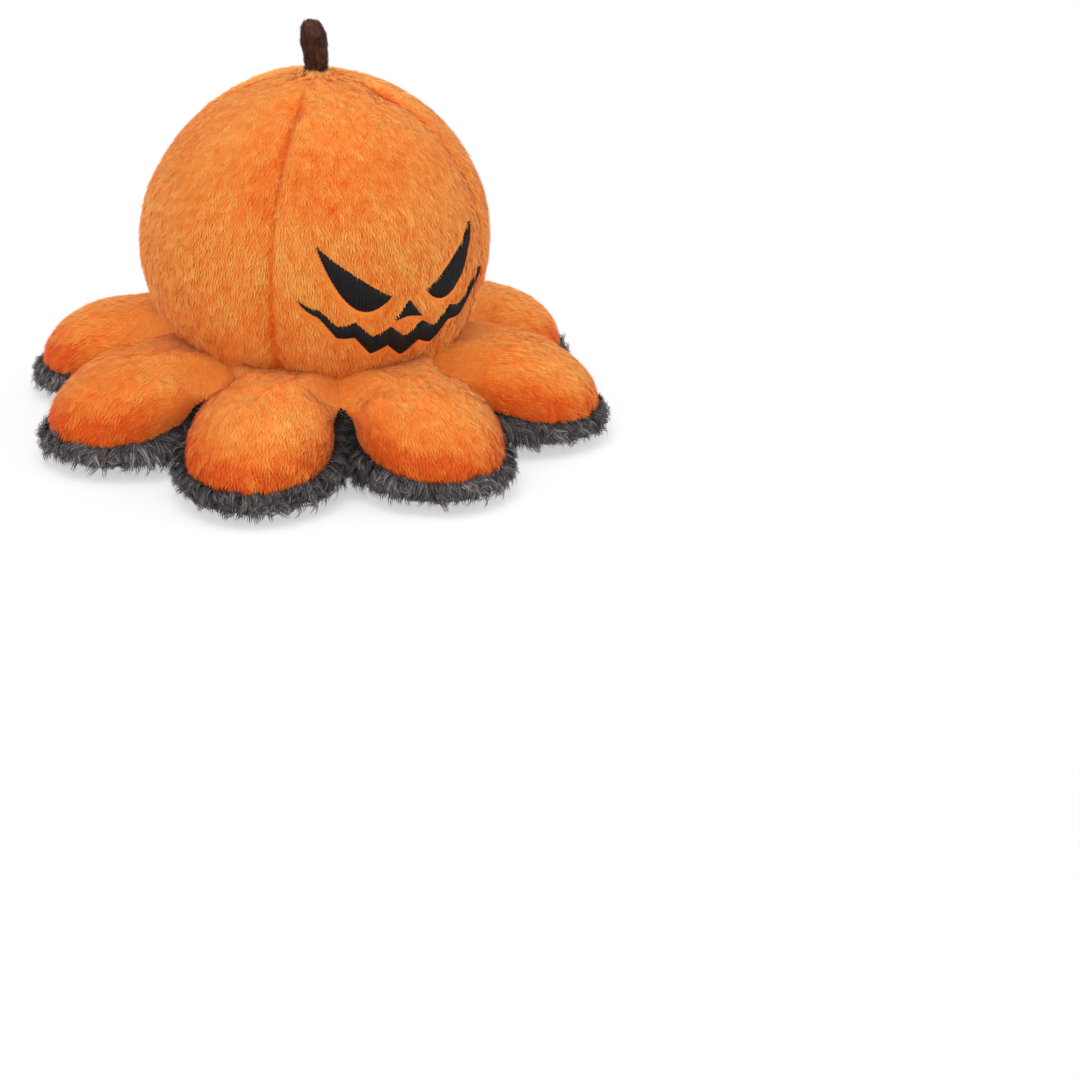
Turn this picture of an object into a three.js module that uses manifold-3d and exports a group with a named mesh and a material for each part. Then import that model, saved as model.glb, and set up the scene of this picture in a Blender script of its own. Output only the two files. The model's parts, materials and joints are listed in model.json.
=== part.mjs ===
// Reversible plush pumpkin, standing pumpkin side out on its legs.
// Millimetres, +Z up, floor at Z = 0, pumpkin face towards -Y.
import * as THREE from "three";
import { mergeVertices } from "three/addons/utils/BufferGeometryUtils.js";
import Module from "manifold-3d";

const wasm = await Module();
wasm.setup();

// Orange dome
const domeRadius = 61.5;
const domeEquatorHeight = 66;
const domeCrownHeight = 124.5;
const domeRoundness = 1.87;
const waistHeight = 30;
const plushThickness = 2.4;
const seamDip = 1.2;
const crownHoleRadius = 2.2;

// Grey cavity that becomes the spider when the toy is turned inside out
const waistWall = 8;
const cavityEquatorHeight = 60;
const cavityCrownHeight = 107;
const mouthDraw = 4;
const furThickness = 3;
const liningRimLift = 0.6;
const liningTwist = 22.5;

// Skirt rings that join dome, lining and legs
const skirtRingGap = 4;
const soleRingGap = 1;
const webReach = 7;
const webTipHalfWidth = 1;
const webRootHalfWidth = 3;

// Legs
const legReach = 16.5;
const legHalfLength = 28;
const legSideGap = 5;
const legCrownHeight = 34;
const legRoundness = 2.2;
const legSlope = 0.22;
const tipSeamHeight = 9.5;
const rootSeamHeight = 20;
const soleOverhang = 1.5;
const soleSink = 6;
const hingeOut = 7.1;
const hingeDrop = 4;
const droopLimit = 12;
const liftLimit = 30;
const swingMargin = 1.5;
const creaseRise = 4;
const creaseGap = 0.6;

// Stem
const stemBaseRadius = 4.3;
const stemTipRadius = 3.9;
const stemLength = 16.5;
const stemClothThickness = 1.2;
const stemLipRadius = 1.8;

// Thread that ties the two crowns together
const tackRadius = 1.1;
const tackClearance = 0.6;

// Embroidery
const threadThickness = 0.8;
const threadGap = 0.5;
const stitchEnd = 0.6;

// Pumpkin face: angles in degrees from the middle of the face, heights from the dome's equator
const eyeInnerAngle = 7;
const eyeOuterAngle = 30;
const eyeInnerHeight = -3;
const eyeOuterHeight = 14;
const eyeBelly = 12;
const noseHalfAngle = 4.5;
const noseTop = -5;
const noseBottom = -11.5;
const grinHalfAngle = 36;
const grinMiddleHeight = -20.5;
const grinRise = 17;
const grinHalfHeight = 4;
const grinToothHeight = 2.2;
const grinTeeth = 6;

// Spider face: angles in degrees from the middle of the face, heights above the floor
const spiderMouthHeight = 38;
const spiderMouthHalfAngle = 8;
const spiderMouthHalfHeight = 0.9;
const spiderMouthRise = 3;
const spiderEyes = [
  { name: "low", angle: 21, height: 44, halfWidth: 3.2, halfHeight: 5.2 },
  { name: "middle", angle: 8.5, height: 55, halfWidth: 3.4, halfHeight: 5.6 },
  { name: "outer", angle: 33, height: 57, halfWidth: 2.2, halfHeight: 4.2 },
  { name: "high", angle: 20, height: 69, halfWidth: 3.2, halfHeight: 5.2 },
];

// Fits
const seamGap = 0.3;
const fillGap = 0.5;

// Mesh fineness
const goreColumns = 8;
const crownRows = 7;
const hipRows = 3;
const legSpokes = 14;
const legRings = 4;
const stemSides = 12;
const arcSteps = 5;

const goreCount = 4;
const legCount = 8;
const faceAngle = -90;

const radians = THREE.MathUtils.degToRad;
const goreAngle = 360 / goreCount;
const legAngle = 360 / legCount;
const waistRadius = Math.sqrt(domeRadius ** 2 - (domeEquatorHeight - waistHeight) ** 2);
const cavityRadius = waistRadius - waistWall;
const mouthRadius = cavityRadius - mouthDraw;
const liningRimHeight = furThickness + seamGap + liningRimLift;
const hingeRadius = waistRadius + hingeOut;
const hingeHeight = waistHeight - hingeDrop;
const skirtRadius = hingeRadius - skirtRingGap;
const soleRingRadius = hingeRadius - soleRingGap;
const webTipRadius = hingeRadius + webReach;
const legCentre = hingeRadius + legReach;
const legHalfWidth = legCentre * Math.tan(radians(legAngle / 2)) - legSideGap;
const stemSeat = domeCrownHeight + seamGap + stemBaseRadius;

const material = (color, roughness) => new THREE.MeshStandardMaterial({ color, roughness, metalness: 0 });
const orangePlush = material(0xe8742a, 0.95);
const greyFur = material(0x77737a, 0.95);
const brownPlush = material(0x4a2c1c, 0.95);
const blackThread = material(0x151314, 0.6);
const whiteThread = material(0xe6e2d8, 0.7);
const fibreFill = material(0xf2f0ea, 1);

const pumpkin = new THREE.Group();
pumpkin.name = "reversible_plush_pumpkin";

function add(name, geometry, cloth) {
  const mesh = new THREE.Mesh(geometry, cloth);
  mesh.name = name;
  pumpkin.add(mesh);
}

// Closed body from points and triangles, with its faces turned outwards.
function bodyFrom(points, triangles) {
  let volume = 0;
  for (let i = 0; i < triangles.length; i += 3) {
    const [a, b, c] = [0, 1, 2].map((k) => points[triangles[i + k]]);
    volume += a.dot(b.clone().cross(c));
  }
  const ordered = volume < 0 ? triangles.slice().reverse() : triangles;
  const geometry = new THREE.BufferGeometry().setFromPoints(points);
  geometry.setIndex(ordered);
  geometry.computeVertexNormals();
  return geometry;
}

// Panel between two four-sided surfaces, each a function of two shares from 0 to 1.
function panelBody(columns, rows, outer, inner) {
  const points = [];
  const triangles = [];
  const across = columns + 1;
  const layer = across * (rows + 1);
  for (const surface of [outer, inner])
    for (let j = 0; j <= rows; j++)
      for (let i = 0; i <= columns; i++) points.push(surface(i / columns, j / rows));
  const quad = (a, b, c, d) => triangles.push(a, b, c, a, c, d);
  for (let j = 0; j < rows; j++)
    for (let i = 0; i < columns; i++) {
      const a = j * across + i;
      quad(a, a + 1, a + 1 + across, a + across);
      quad(layer + a, layer + a + across, layer + a + 1 + across, layer + a + 1);
    }
  const edge = (a, b) => quad(b, a, layer + a, layer + b);
  for (let i = 0; i < columns; i++) {
    edge(i, i + 1);
    edge(rows * across + i + 1, rows * across + i);
  }
  for (let j = 0; j < rows; j++) {
    edge((j + 1) * across, j * across);
    edge(j * across + columns, (j + 1) * across + columns);
  }
  return bodyFrom(points, triangles);
}

// Body between two round surfaces, each a function of a radius share and an angle.
function discBody(spokes, rings, upper, lower) {
  const points = [];
  const triangles = [];
  const layer = 1 + spokes * rings;
  for (const surface of [upper, lower]) {
    points.push(surface(0, 0));
    for (let ring = 1; ring <= rings; ring++)
      for (let spoke = 0; spoke < spokes; spoke++)
        points.push(surface(Math.sin((ring / rings) * (Math.PI / 2)), (spoke / spokes) * 2 * Math.PI));
  }
  const at = (ring, spoke) => (ring === 0 ? 0 : 1 + (ring - 1) * spokes + (spoke % spokes));
  for (let spoke = 0; spoke < spokes; spoke++) {
    triangles.push(0, at(1, spoke), at(1, spoke + 1));
    triangles.push(layer, layer + at(1, spoke + 1), layer + at(1, spoke));
    for (let ring = 1; ring < rings; ring++) {
      const [a, b] = [at(ring, spoke), at(ring, spoke + 1)];
      const [c, d] = [at(ring + 1, spoke), at(ring + 1, spoke + 1)];
      triangles.push(a, c, d, a, d, b);
      triangles.push(layer + a, layer + d, layer + c, layer + a, layer + b, layer + d);
    }
    const [rimA, rimB] = [at(rings, spoke), at(rings, spoke + 1)];
    triangles.push(rimA, layer + rimA, layer + rimB, rimA, layer + rimB, rimB);
  }
  return bodyFrom(points, triangles);
}

// Round body from a list of [radius, height] points.
function turnedBody(profile, sides) {
  const outline = profile.map(([radius, height]) => new THREE.Vector2(radius, height));
  const lathe = new THREE.LatheGeometry(outline, sides).rotateX(Math.PI / 2);
  lathe.deleteAttribute("normal");
  lathe.deleteAttribute("uv");
  const welded = mergeVertices(lathe, 1e-3);
  const points = [];
  for (let i = 0; i < welded.attributes.position.count; i++)
    points.push(new THREE.Vector3().fromBufferAttribute(welded.attributes.position, i));
  const triangles = [];
  for (let i = 0; i < welded.index.count; i += 3) {
    const [a, b, c] = [0, 1, 2].map((k) => welded.index.getX(i + k));
    if (a !== b && b !== c && c !== a) triangles.push(a, b, c);
  }
  return bodyFrom(points, triangles);
}

function solidOf(geometry) {
  const bare = new THREE.BufferGeometry();
  bare.setAttribute("position", geometry.getAttribute("position"));
  bare.setIndex(geometry.index);
  const welded = mergeVertices(bare, 1e-3);
  const vertProperties = new Float32Array(welded.attributes.position.array);
  const triVerts = new Uint32Array(welded.index.array);
  return new wasm.Manifold(new wasm.Mesh({ numProp: 3, vertProperties, triVerts }));
}

function cutAway(geometry, tool) {
  const mesh = solidOf(geometry).subtract(solidOf(tool)).getMesh();
  const result = new THREE.BufferGeometry();
  result.setAttribute("position", new THREE.BufferAttribute(mesh.vertProperties, 3));
  result.setIndex(new THREE.BufferAttribute(mesh.triVerts, 1));
  result.computeVertexNormals();
  return result;
}

// Dome profile point, inset along its normal; the share runs from the crown at 0 to the waist at 1.
function domeProfile(row, inset) {
  const rise = domeCrownHeight - domeEquatorHeight;
  if (row <= crownRows) {
    const first = Math.asin((crownHoleRadius / domeRadius) ** (domeRoundness / 2));
    const turn = first + (row / crownRows) * (Math.PI / 2 - first);
    const out = Math.sin(turn) ** (2 / domeRoundness);
    const up = Math.max(0, Math.cos(turn)) ** (2 / domeRoundness);
    const normal = new THREE.Vector2(
      out ** (domeRoundness - 1) / domeRadius,
      up ** (domeRoundness - 1) / rise,
    ).normalize();
    return [
      domeRadius * out - inset * normal.x,
      domeEquatorHeight + rise * up - inset * normal.y,
    ];
  }
  const dip = Math.asin((domeEquatorHeight - waistHeight) / domeRadius);
  const turn = ((row - crownRows) / hipRows) * dip;
  const radius = domeRadius - inset;
  return [radius * Math.cos(turn), domeEquatorHeight - radius * Math.sin(turn)];
}

// Cavity profile point, moved out along its normal into the wall.
function cavityProfile(row, outset) {
  const rise = cavityCrownHeight - cavityEquatorHeight;
  if (row <= crownRows) {
    const first = Math.asin(crownHoleRadius / cavityRadius);
    const turn = first + (row / crownRows) * (Math.PI / 2 - first);
    const normal = new THREE.Vector2(Math.sin(turn) / cavityRadius, Math.cos(turn) / rise).normalize();
    return [
      cavityRadius * Math.sin(turn) + outset * normal.x,
      cavityEquatorHeight + rise * Math.cos(turn) + outset * normal.y,
    ];
  }
  const down = (row - crownRows) / hipRows;
  const drop = cavityEquatorHeight - liningRimHeight;
  const narrowing = cavityRadius - mouthRadius;
  const normal = new THREE.Vector2(drop, -2 * narrowing * down).normalize();
  return [
    cavityRadius - narrowing * down * down + outset * normal.x,
    cavityEquatorHeight - drop * down + outset * normal.y,
  ];
}

function aroundAxis(radius, angle, height) {
  const turn = radians(angle);
  return new THREE.Vector3(radius * Math.cos(turn), radius * Math.sin(turn), height);
}

// One of four panels sewn side by side; the seam gap keeps its width from waist to crown.
function goreBody(profile, middleAngle, outerShift, innerShift, dip) {
  const rows = crownRows + hipRows;
  const surface = (shift, dipHere) => (across, down) => {
    const [radius, height] = profile(down * rows, shift);
    const gapAngle = THREE.MathUtils.radToDeg(seamGap / 2 / radius);
    const offset = (across - 0.5) * (goreAngle - 2 * gapAngle);
    const drawnIn = dipHere * Math.abs(2 * across - 1) ** 6;
    return aroundAxis(radius - drawnIn * Math.min(1, radius / domeRadius), middleAngle + offset, height);
  };
  return panelBody(goreColumns, rows, surface(outerShift, dip), surface(innerShift, 0));
}

function addGores() {
  const sides = ["front", "right", "back", "left"];
  sides.forEach((side, i) => {
    const middle = faceAngle + i * goreAngle;
    add("dome_gore_" + side, goreBody(domeProfile, middle, 0, plushThickness, seamDip), orangePlush);
    const lining = goreBody(cavityProfile, middle + liningTwist, 0, furThickness, 0);
    add("lining_gore_" + side, lining, greyFur);
  });
}

// Thick bowl of filling between dome and lining, standing on the sole ring.
function addDomeStuffing() {
  const rows = crownRows + hipRows;
  const hole = tackRadius + tackClearance;
  const outer = [];
  const inner = [];
  for (let row = 0; row <= rows; row++) {
    outer.push(domeProfile(row, plushThickness + fillGap));
    inner.unshift(cavityProfile(row, furThickness + fillGap));
  }
  const neckRadius = outer[rows][0];
  const ledgeHeight = waistHeight - plushThickness - 3 * seamGap;
  const profile = [
    [hole, outer[0][1]],
    ...outer,
    [neckRadius, ledgeHeight],
    [skirtRadius, ledgeHeight],
    [skirtRadius, furThickness + fillGap],
    ...inner,
    [hole, inner[rows][1]],
    [hole, outer[0][1]],
  ];
  add("dome_stuffing", turnedBody(profile, goreCount * goreColumns), fibreFill);
  const tack = [
    [0, outer[0][1] + fillGap / 2],
    [tackRadius, outer[0][1] + fillGap / 2],
    [tackRadius, inner[rows][1] - fillGap / 2],
    [0, inner[rows][1] - fillGap / 2],
  ];
  add("crown_tack", turnedBody(tack, stemSides), whiteThread);
}

// Flat ring with a point between each pair of legs.
function ringBody(innerRadius, outerRadius, bottom, thickness) {
  const outline = [];
  for (let i = 0; i < legCount; i++) {
    const notch = radians(faceAngle + (i + 0.5) * legAngle);
    const rootTurn = Math.asin(webRootHalfWidth / outerRadius);
    const tipTurn = Math.asin(webTipHalfWidth / webTipRadius);
    const arcSpan = radians(legAngle) - 2 * rootTurn;
    for (let k = 0; k <= arcSteps; k++) {
      const turn = notch - radians(legAngle) + rootTurn + (k / arcSteps) * arcSpan;
      outline.push(new THREE.Vector2(outerRadius * Math.cos(turn), outerRadius * Math.sin(turn)));
    }
    for (const turn of [notch - tipTurn, notch + tipTurn])
      outline.push(new THREE.Vector2(webTipRadius * Math.cos(turn), webTipRadius * Math.sin(turn)));
  }
  const shape = new THREE.Shape(outline);
  const hole = [];
  const holeSides = goreCount * goreColumns;
  for (let k = 0; k < holeSides; k++) {
    const turn = (k / holeSides) * 2 * Math.PI;
    hole.push(new THREE.Vector2(innerRadius * Math.cos(turn), innerRadius * Math.sin(turn)));
  }
  shape.holes.push(new THREE.Path(hole));
  const ring = new THREE.ExtrudeGeometry(shape, { depth: thickness, bevelEnabled: false });
  return ring.translate(0, 0, bottom);
}

function addSkirtRings() {
  const neckRadius = domeProfile(crownRows + hipRows, plushThickness + fillGap)[0];
  const topRing = ringBody(
    neckRadius + fillGap,
    skirtRadius,
    waistHeight - plushThickness - 2 * seamGap,
    plushThickness,
  );
  add("skirt_ring_top", topRing, orangePlush);
  add("skirt_ring_sole", ringBody(mouthRadius, soleRingRadius, 0, furThickness), greyFur);
}

// Leg surfaces, with X along the leg from the toy's axis.
const swell = (share) => Math.max(0, 1 - share ** legRoundness) ** (1 / legRoundness);
const seamHeightAt = (angle) =>
  tipSeamHeight + (rootSeamHeight - tipSeamHeight) * ((1 - Math.cos(angle)) / 2) ** 1.5;

const legUpper = (inset) => (share, angle) => {
  const seam = seamHeightAt(angle) + seamGap;
  const along = share * (legHalfLength - inset) * Math.cos(angle);
  const crown = legCrownHeight - legSlope * along - inset;
  return new THREE.Vector3(
    legCentre + along,
    share * (legHalfWidth - inset) * Math.sin(angle),
    seam + (crown - seam) * swell(share),
  );
};

const legLower = (outset, lift) => (share, angle) => {
  const seam = seamHeightAt(angle) - seamGap;
  return new THREE.Vector3(
    legCentre + share * (legHalfLength + outset) * Math.cos(angle),
    share * (legHalfWidth + outset / 2) * Math.sin(angle),
    Math.max(lift, seam - (seam + soleSink - lift) * swell(share)),
  );
};

// Block with one face through the origin, facing +X.
function halfSpace() {
  const size = 4 * legHalfWidth;
  return new THREE.BoxGeometry(size, size, size).translate(-size / 2, 0, 0);
}

// Everything nearer the axis than the leg's root face, which leans out to let the leg droop.
function droopBlock() {
  const lean = radians(droopLimit + swingMargin);
  return halfSpace().rotateY(-lean).translate(hingeRadius, 0, hingeHeight);
}

// The dome's side above the crease, turned down to where a lifted leg would meet it.
function liftBlock() {
  const drop = domeEquatorHeight - waistHeight - creaseRise;
  const contactRadius = Math.sqrt(domeRadius ** 2 - drop ** 2) + creaseGap;
  const side = halfSpace().rotateY(Math.asin(drop / domeRadius));
  side.translate(contactRadius - hingeRadius, 0, waistHeight + creaseRise - hingeHeight);
  return side.rotateY(radians(liftLimit)).translate(hingeRadius, 0, hingeHeight);
}

function addLegs() {
  const coverInset = plushThickness;
  const coreInset = plushThickness + fillGap;
  const soleInset = furThickness;
  const coreLift = furThickness + fillGap;
  const form = (upper, lower) => {
    const pebble = discBody(legSpokes, legRings, upper, lower);
    return cutAway(cutAway(pebble, droopBlock()), liftBlock());
  };
  const parts = [
    ["cover", form(legUpper(0), legUpper(coverInset)), orangePlush],
    ["sole", form(legLower(-soleInset, furThickness), legLower(soleOverhang, 0)), greyFur],
    ["stuffing", form(legUpper(coreInset), legLower(-soleInset - fillGap, coreLift)), fibreFill],
  ];
  const places = ["front", "front_right", "right", "back_right", "back", "back_left", "left", "front_left"];
  places.forEach((place, i) => {
    const turn = radians(faceAngle + i * legAngle);
    for (const [part, geometry, cloth] of parts)
      add("leg_" + place + "_" + part, geometry.clone().rotateZ(turn), cloth);
  });
}

function addStem() {
  const tipHeight = stemLength - stemBaseRadius;
  const shell = (inset, lip) => {
    const base = stemBaseRadius - inset;
    const tip = stemTipRadius - inset;
    const points = [];
    const first = Math.asin(lip / base);
    for (let k = 0; k <= arcSteps; k++) {
      const turn = first + (k / arcSteps) * (Math.PI / 2 - first);
      points.unshift([base * Math.sin(turn), stemSeat - base * Math.cos(turn)]);
    }
    for (let k = 0; k <= arcSteps; k++) {
      const turn = (k / arcSteps) * (Math.PI / 2);
      points.unshift([tip * Math.cos(turn), stemSeat + tipHeight - stemTipRadius + tip * Math.sin(turn)]);
    }
    return points;
  };
  const cover = [...shell(0, stemLipRadius), ...shell(stemClothThickness, stemLipRadius).reverse()];
  add("stem_cover", turnedBody(cover, stemSides), brownPlush);
  add("stem_stuffing", turnedBody(shell(stemClothThickness + fillGap, 0), stemSides), fibreFill);
}

// Point above the dome at an angle and a height.
function onDome(angle, height, lift) {
  const rise = height - domeEquatorHeight;
  const top = domeCrownHeight - domeEquatorHeight;
  const radius =
    rise > 0
      ? domeRadius * (1 - (rise / top) ** domeRoundness) ** (1 / domeRoundness)
      : Math.sqrt(domeRadius ** 2 - rise ** 2);
  const slope = rise > 0 ? (rise / top) ** (domeRoundness - 1) / top : rise / domeRadius ** 2;
  const normal = new THREE.Vector2((radius / domeRadius) ** (domeRoundness - 1) / domeRadius, slope);
  normal.normalize();
  return aroundAxis(radius + lift * normal.x, angle, height + lift * normal.y);
}

// Point inside the cavity at an angle and a height.
function inCavity(angle, height, lift) {
  const rise = height - cavityEquatorHeight;
  const top = cavityCrownHeight - cavityEquatorHeight;
  const depth = -rise / (cavityEquatorHeight - liningRimHeight);
  const radius =
    rise > 0
      ? cavityRadius * Math.sqrt(1 - (rise / top) ** 2)
      : cavityRadius - (cavityRadius - mouthRadius) * depth ** 2;
  return aroundAxis(radius - lift, angle, height);
}

// Raised stitching between a lower and an upper edge, each a height for an angle.
function stitching(surface, angleAt, lower, upper, columns, rows) {
  const at = (lift) => (across, up) => {
    const angle = angleAt(across);
    const low = lower(angle);
    const high = Math.max(upper(angle), low + stitchEnd);
    return surface(angle, low + (high - low) * up, lift);
  };
  return panelBody(columns, rows, at(threadGap + threadThickness), at(threadGap));
}

function addPumpkinFace() {
  const place = (angle, height, lift) => onDome(faceAngle + angle, domeEquatorHeight + height, lift);
  const share = (angle) => (Math.abs(angle) - eyeInnerAngle) / (eyeOuterAngle - eyeInnerAngle);
  const eyeTop = (angle) => eyeInnerHeight + (eyeOuterHeight - eyeInnerHeight) * share(angle);
  const eyeBottom = (angle) => eyeTop(angle) - eyeBelly * Math.sin(Math.PI * share(angle)) ** 0.8;
  for (const [side, sign] of [["left", -1], ["right", 1]]) {
    const angleAt = (across) => sign * (eyeInnerAngle + (eyeOuterAngle - eyeInnerAngle) * across);
    add("face_eye_" + side, stitching(place, angleAt, eyeBottom, eyeTop, 10, 3), blackThread);
  }
  const noseAngle = (across) => noseHalfAngle * (2 * across - 1);
  const noseEdge = (angle) => noseTop + (noseBottom - noseTop) * (Math.abs(angle) / noseHalfAngle);
  add("face_nose", stitching(place, noseAngle, () => noseBottom, noseEdge, 6, 2), blackThread);
  const grinAngle = (across) => grinHalfAngle * (2 * across - 1);
  const grinShare = (angle) => Math.abs(angle) / grinHalfAngle;
  const tooth = (angle) => {
    const beat = ((angle / grinHalfAngle + 1) / 2) * grinTeeth;
    return grinToothHeight * (1 - 4 * Math.abs(beat - Math.floor(beat) - 0.5)) * (1 - grinShare(angle) ** 4);
  };
  const grinMiddle = (angle) => grinMiddleHeight + grinRise * grinShare(angle) ** 2 + tooth(angle);
  const grinHalf = (angle) => grinHalfHeight * (1 - grinShare(angle) ** 2);
  const grinLow = (angle) => grinMiddle(angle) - grinHalf(angle);
  const grinHigh = (angle) => grinMiddle(angle) + grinHalf(angle);
  add("face_grin", stitching(place, grinAngle, grinLow, grinHigh, 4 * grinTeeth, 2), blackThread);
}

function addSpiderFace() {
  const middle = faceAngle + liningTwist;
  const place = (angle, height, lift) => inCavity(middle + angle, height, lift);
  for (const eye of spiderEyes)
    for (const [side, sign] of [["left", -1], ["right", 1]]) {
      const reach = THREE.MathUtils.radToDeg(eye.halfWidth / cavityRadius);
      const angleAt = (across) => sign * eye.angle - reach * Math.cos(Math.PI * across);
      const half = (angle) => {
        const share = Math.min(1, Math.abs((angle - sign * eye.angle) / reach));
        return eye.halfHeight * Math.sqrt(1 - share ** 2);
      };
      const low = (angle) => eye.height - half(angle) - stitchEnd / 2;
      const high = (angle) => eye.height + half(angle) + stitchEnd / 2;
      add("spider_eye_" + eye.name + "_" + side, stitching(place, angleAt, low, high, 6, 2), blackThread);
    }
  const mouthAngle = (across) => spiderMouthHalfAngle * (2 * across - 1);
  const mouthMiddle = (angle) => spiderMouthHeight + spiderMouthRise * (angle / spiderMouthHalfAngle) ** 2;
  const mouthLow = (angle) => mouthMiddle(angle) - spiderMouthHalfHeight;
  const mouthHigh = (angle) => mouthMiddle(angle) + spiderMouthHalfHeight;
  add("spider_mouth", stitching(place, mouthAngle, mouthLow, mouthHigh, 8, 1), blackThread);
}

addGores();
addDomeStuffing();
addSkirtRings();
addLegs();
addStem();
addPumpkinFace();
addSpiderFace();

export default pumpkin;
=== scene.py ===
import json
import math
from functools import partial
import bmesh
import bpy
import numpy as np
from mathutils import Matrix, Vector, noise
from mathutils.bvhtree import BVHTree


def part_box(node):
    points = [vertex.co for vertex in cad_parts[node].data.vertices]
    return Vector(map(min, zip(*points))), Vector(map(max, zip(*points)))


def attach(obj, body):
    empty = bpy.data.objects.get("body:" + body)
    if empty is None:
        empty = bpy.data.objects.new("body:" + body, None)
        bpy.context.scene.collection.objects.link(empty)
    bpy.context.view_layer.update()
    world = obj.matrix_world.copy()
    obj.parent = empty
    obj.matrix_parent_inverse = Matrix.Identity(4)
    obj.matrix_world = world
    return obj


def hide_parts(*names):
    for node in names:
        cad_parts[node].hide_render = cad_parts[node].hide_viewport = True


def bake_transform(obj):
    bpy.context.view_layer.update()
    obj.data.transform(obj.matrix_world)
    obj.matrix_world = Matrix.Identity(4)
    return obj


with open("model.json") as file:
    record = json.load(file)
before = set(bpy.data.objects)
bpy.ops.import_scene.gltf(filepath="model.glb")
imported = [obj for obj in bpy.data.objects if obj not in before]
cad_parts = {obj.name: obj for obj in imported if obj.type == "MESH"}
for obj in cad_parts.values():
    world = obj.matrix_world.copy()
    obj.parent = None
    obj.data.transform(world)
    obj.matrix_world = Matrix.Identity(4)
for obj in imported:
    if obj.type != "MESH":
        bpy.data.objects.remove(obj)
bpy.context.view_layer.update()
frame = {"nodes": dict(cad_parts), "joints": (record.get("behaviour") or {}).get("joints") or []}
scene = bpy.context.scene
sides = ["front", "right", "back", "left"]
places = ["front", "front_right", "right", "back_right", "back", "back_left", "left", "front_left"]
faceAngle = -90  # the face looks along -Y
goreAngle = 90  # from one dome panel to the next
legAngle = 45  # from one leg to the next
print("frame loaded:", len(frame["nodes"]), "nodes")


# Meshes

def smoothStep(value, low, high):
    t = np.clip((value - low) / (high - low), 0, 1)
    return t * t * (3 - 2 * t)


def bell(distance, width):
    return np.exp(-(distance / width) ** 2)


# the first weight, plus each field times its own weight
def weighted(weights, *fields):
    total = weights[0]
    for weight, field in zip(weights[1:], fields):
        total = total + weight * field
    return total


# a wandering value from -1 to 1 at each point, with features of about the given size
def wander(points, size, offset):
    shift = Vector((offset, 1.7 * offset, -offset))
    return np.array([noise.noise(Vector(p) / size + shift) for p in points])


def around(angle):
    turn = np.radians(angle)
    return np.stack([np.cos(turn), np.sin(turn), 0 * turn], -1)


# a row of points for each radius and height, with a point at every angle
def lathe(angles, radius, height):
    points = around(angles)[None, :, :] * radius[:, None, None]
    points[:, :, 2] = height[:, None]
    return points.reshape(-1, 3)


def gridFaces(rows, columns, first=0):
    faces = []
    for j in range(rows - 1):
        for i in range(columns - 1):
            a = first + j * columns + i
            faces.append((a, a + columns, a + columns + 1, a + 1))
    return faces


# point 0 in the middle, then rings of points round it
def discFaces(rings, spokes):
    faces = [(0, 1 + i, 1 + (i + 1) % spokes) for i in range(spokes)]
    for j in range(rings - 1):
        for i in range(spokes):
            a, b = 1 + j * spokes + i, 1 + j * spokes + (i + 1) % spokes
            faces.append((a, a + spokes, b + spokes, b))
    return faces


def newObject(name, data):
    made = bpy.data.objects.new(name, data)
    scene.collection.objects.link(made)
    return made


def meshObject(name, points, faces, edges=()):
    mesh = bpy.data.meshes.new(name)
    mesh.from_pydata([tuple(p) for p in points], edges, faces)
    mesh.update()
    return newObject(name, mesh)


# swaps the object's mesh for what its modifiers make of it
def settle(piece):
    bpy.context.view_layer.update()
    made = bpy.data.meshes.new_from_object(piece.evaluated_get(bpy.context.evaluated_depsgraph_get()))
    piece.modifiers.clear()
    old = piece.data
    piece.data = made
    bpy.data.meshes.remove(old)
    made.name = piece.name
    return piece


def smoothPanel(name, points, faces):
    piece = meshObject(name, points, faces)
    fine = piece.modifiers.new("fine", "SUBSURF")
    fine.levels = fine.render_levels = 1
    fine.boundary_smooth = "PRESERVE_CORNERS"
    settle(piece)
    piece.data.polygons.foreach_set("use_smooth", [True] * len(piece.data.polygons))
    return piece


def perPoint(mesh, what):
    flat = np.zeros(len(mesh.vertices) * 3)
    mesh.vertices.foreach_get(what, flat)
    return flat.reshape(-1, 3)


def pointsOf(piece):
    return perPoint(piece.data, "co")


def normalsOf(piece):
    return perPoint(piece.data, "normal")


def editMesh(piece, change):
    edited = bmesh.new()
    edited.from_mesh(piece.data)
    change(edited)
    edited.to_mesh(piece.data)
    edited.free()


def joinInto(piece, other):
    editMesh(piece, lambda mesh: mesh.from_mesh(other.data))
    bpy.data.objects.remove(other)
    return piece


# Node helpers

def addNode(tree, kind, inputs=None, **settings):
    made = tree.nodes.new(kind)
    for name, value in settings.items():
        setattr(made, name, value)
    for key, value in (inputs or {}).items():
        if isinstance(value, bpy.types.NodeSocket):
            tree.links.new(value, made.inputs[key])
        else:
            made.inputs[key].default_value = value
    return made


def sums(tree, operation, *values):
    return addNode(tree, "ShaderNodeMath", dict(enumerate(values)), operation=operation).outputs[0]


def vectorSums(tree, operation, a, b):
    second = "Scale" if operation == "SCALE" else 1
    return addNode(tree, "ShaderNodeVectorMath", {0: a, second: b}, operation=operation).outputs[0]


def noiseTexture(tree, spot, scale, detail):
    return addNode(tree, "ShaderNodeTexNoise", {"Vector": spot, "Scale": scale, "Detail": detail}).outputs


def attribute(tree, name, kind="FLOAT"):
    named = addNode(tree, "GeometryNodeInputNamedAttribute", {"Name": name}, data_type=kind)
    return named.outputs["Attribute"]


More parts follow.
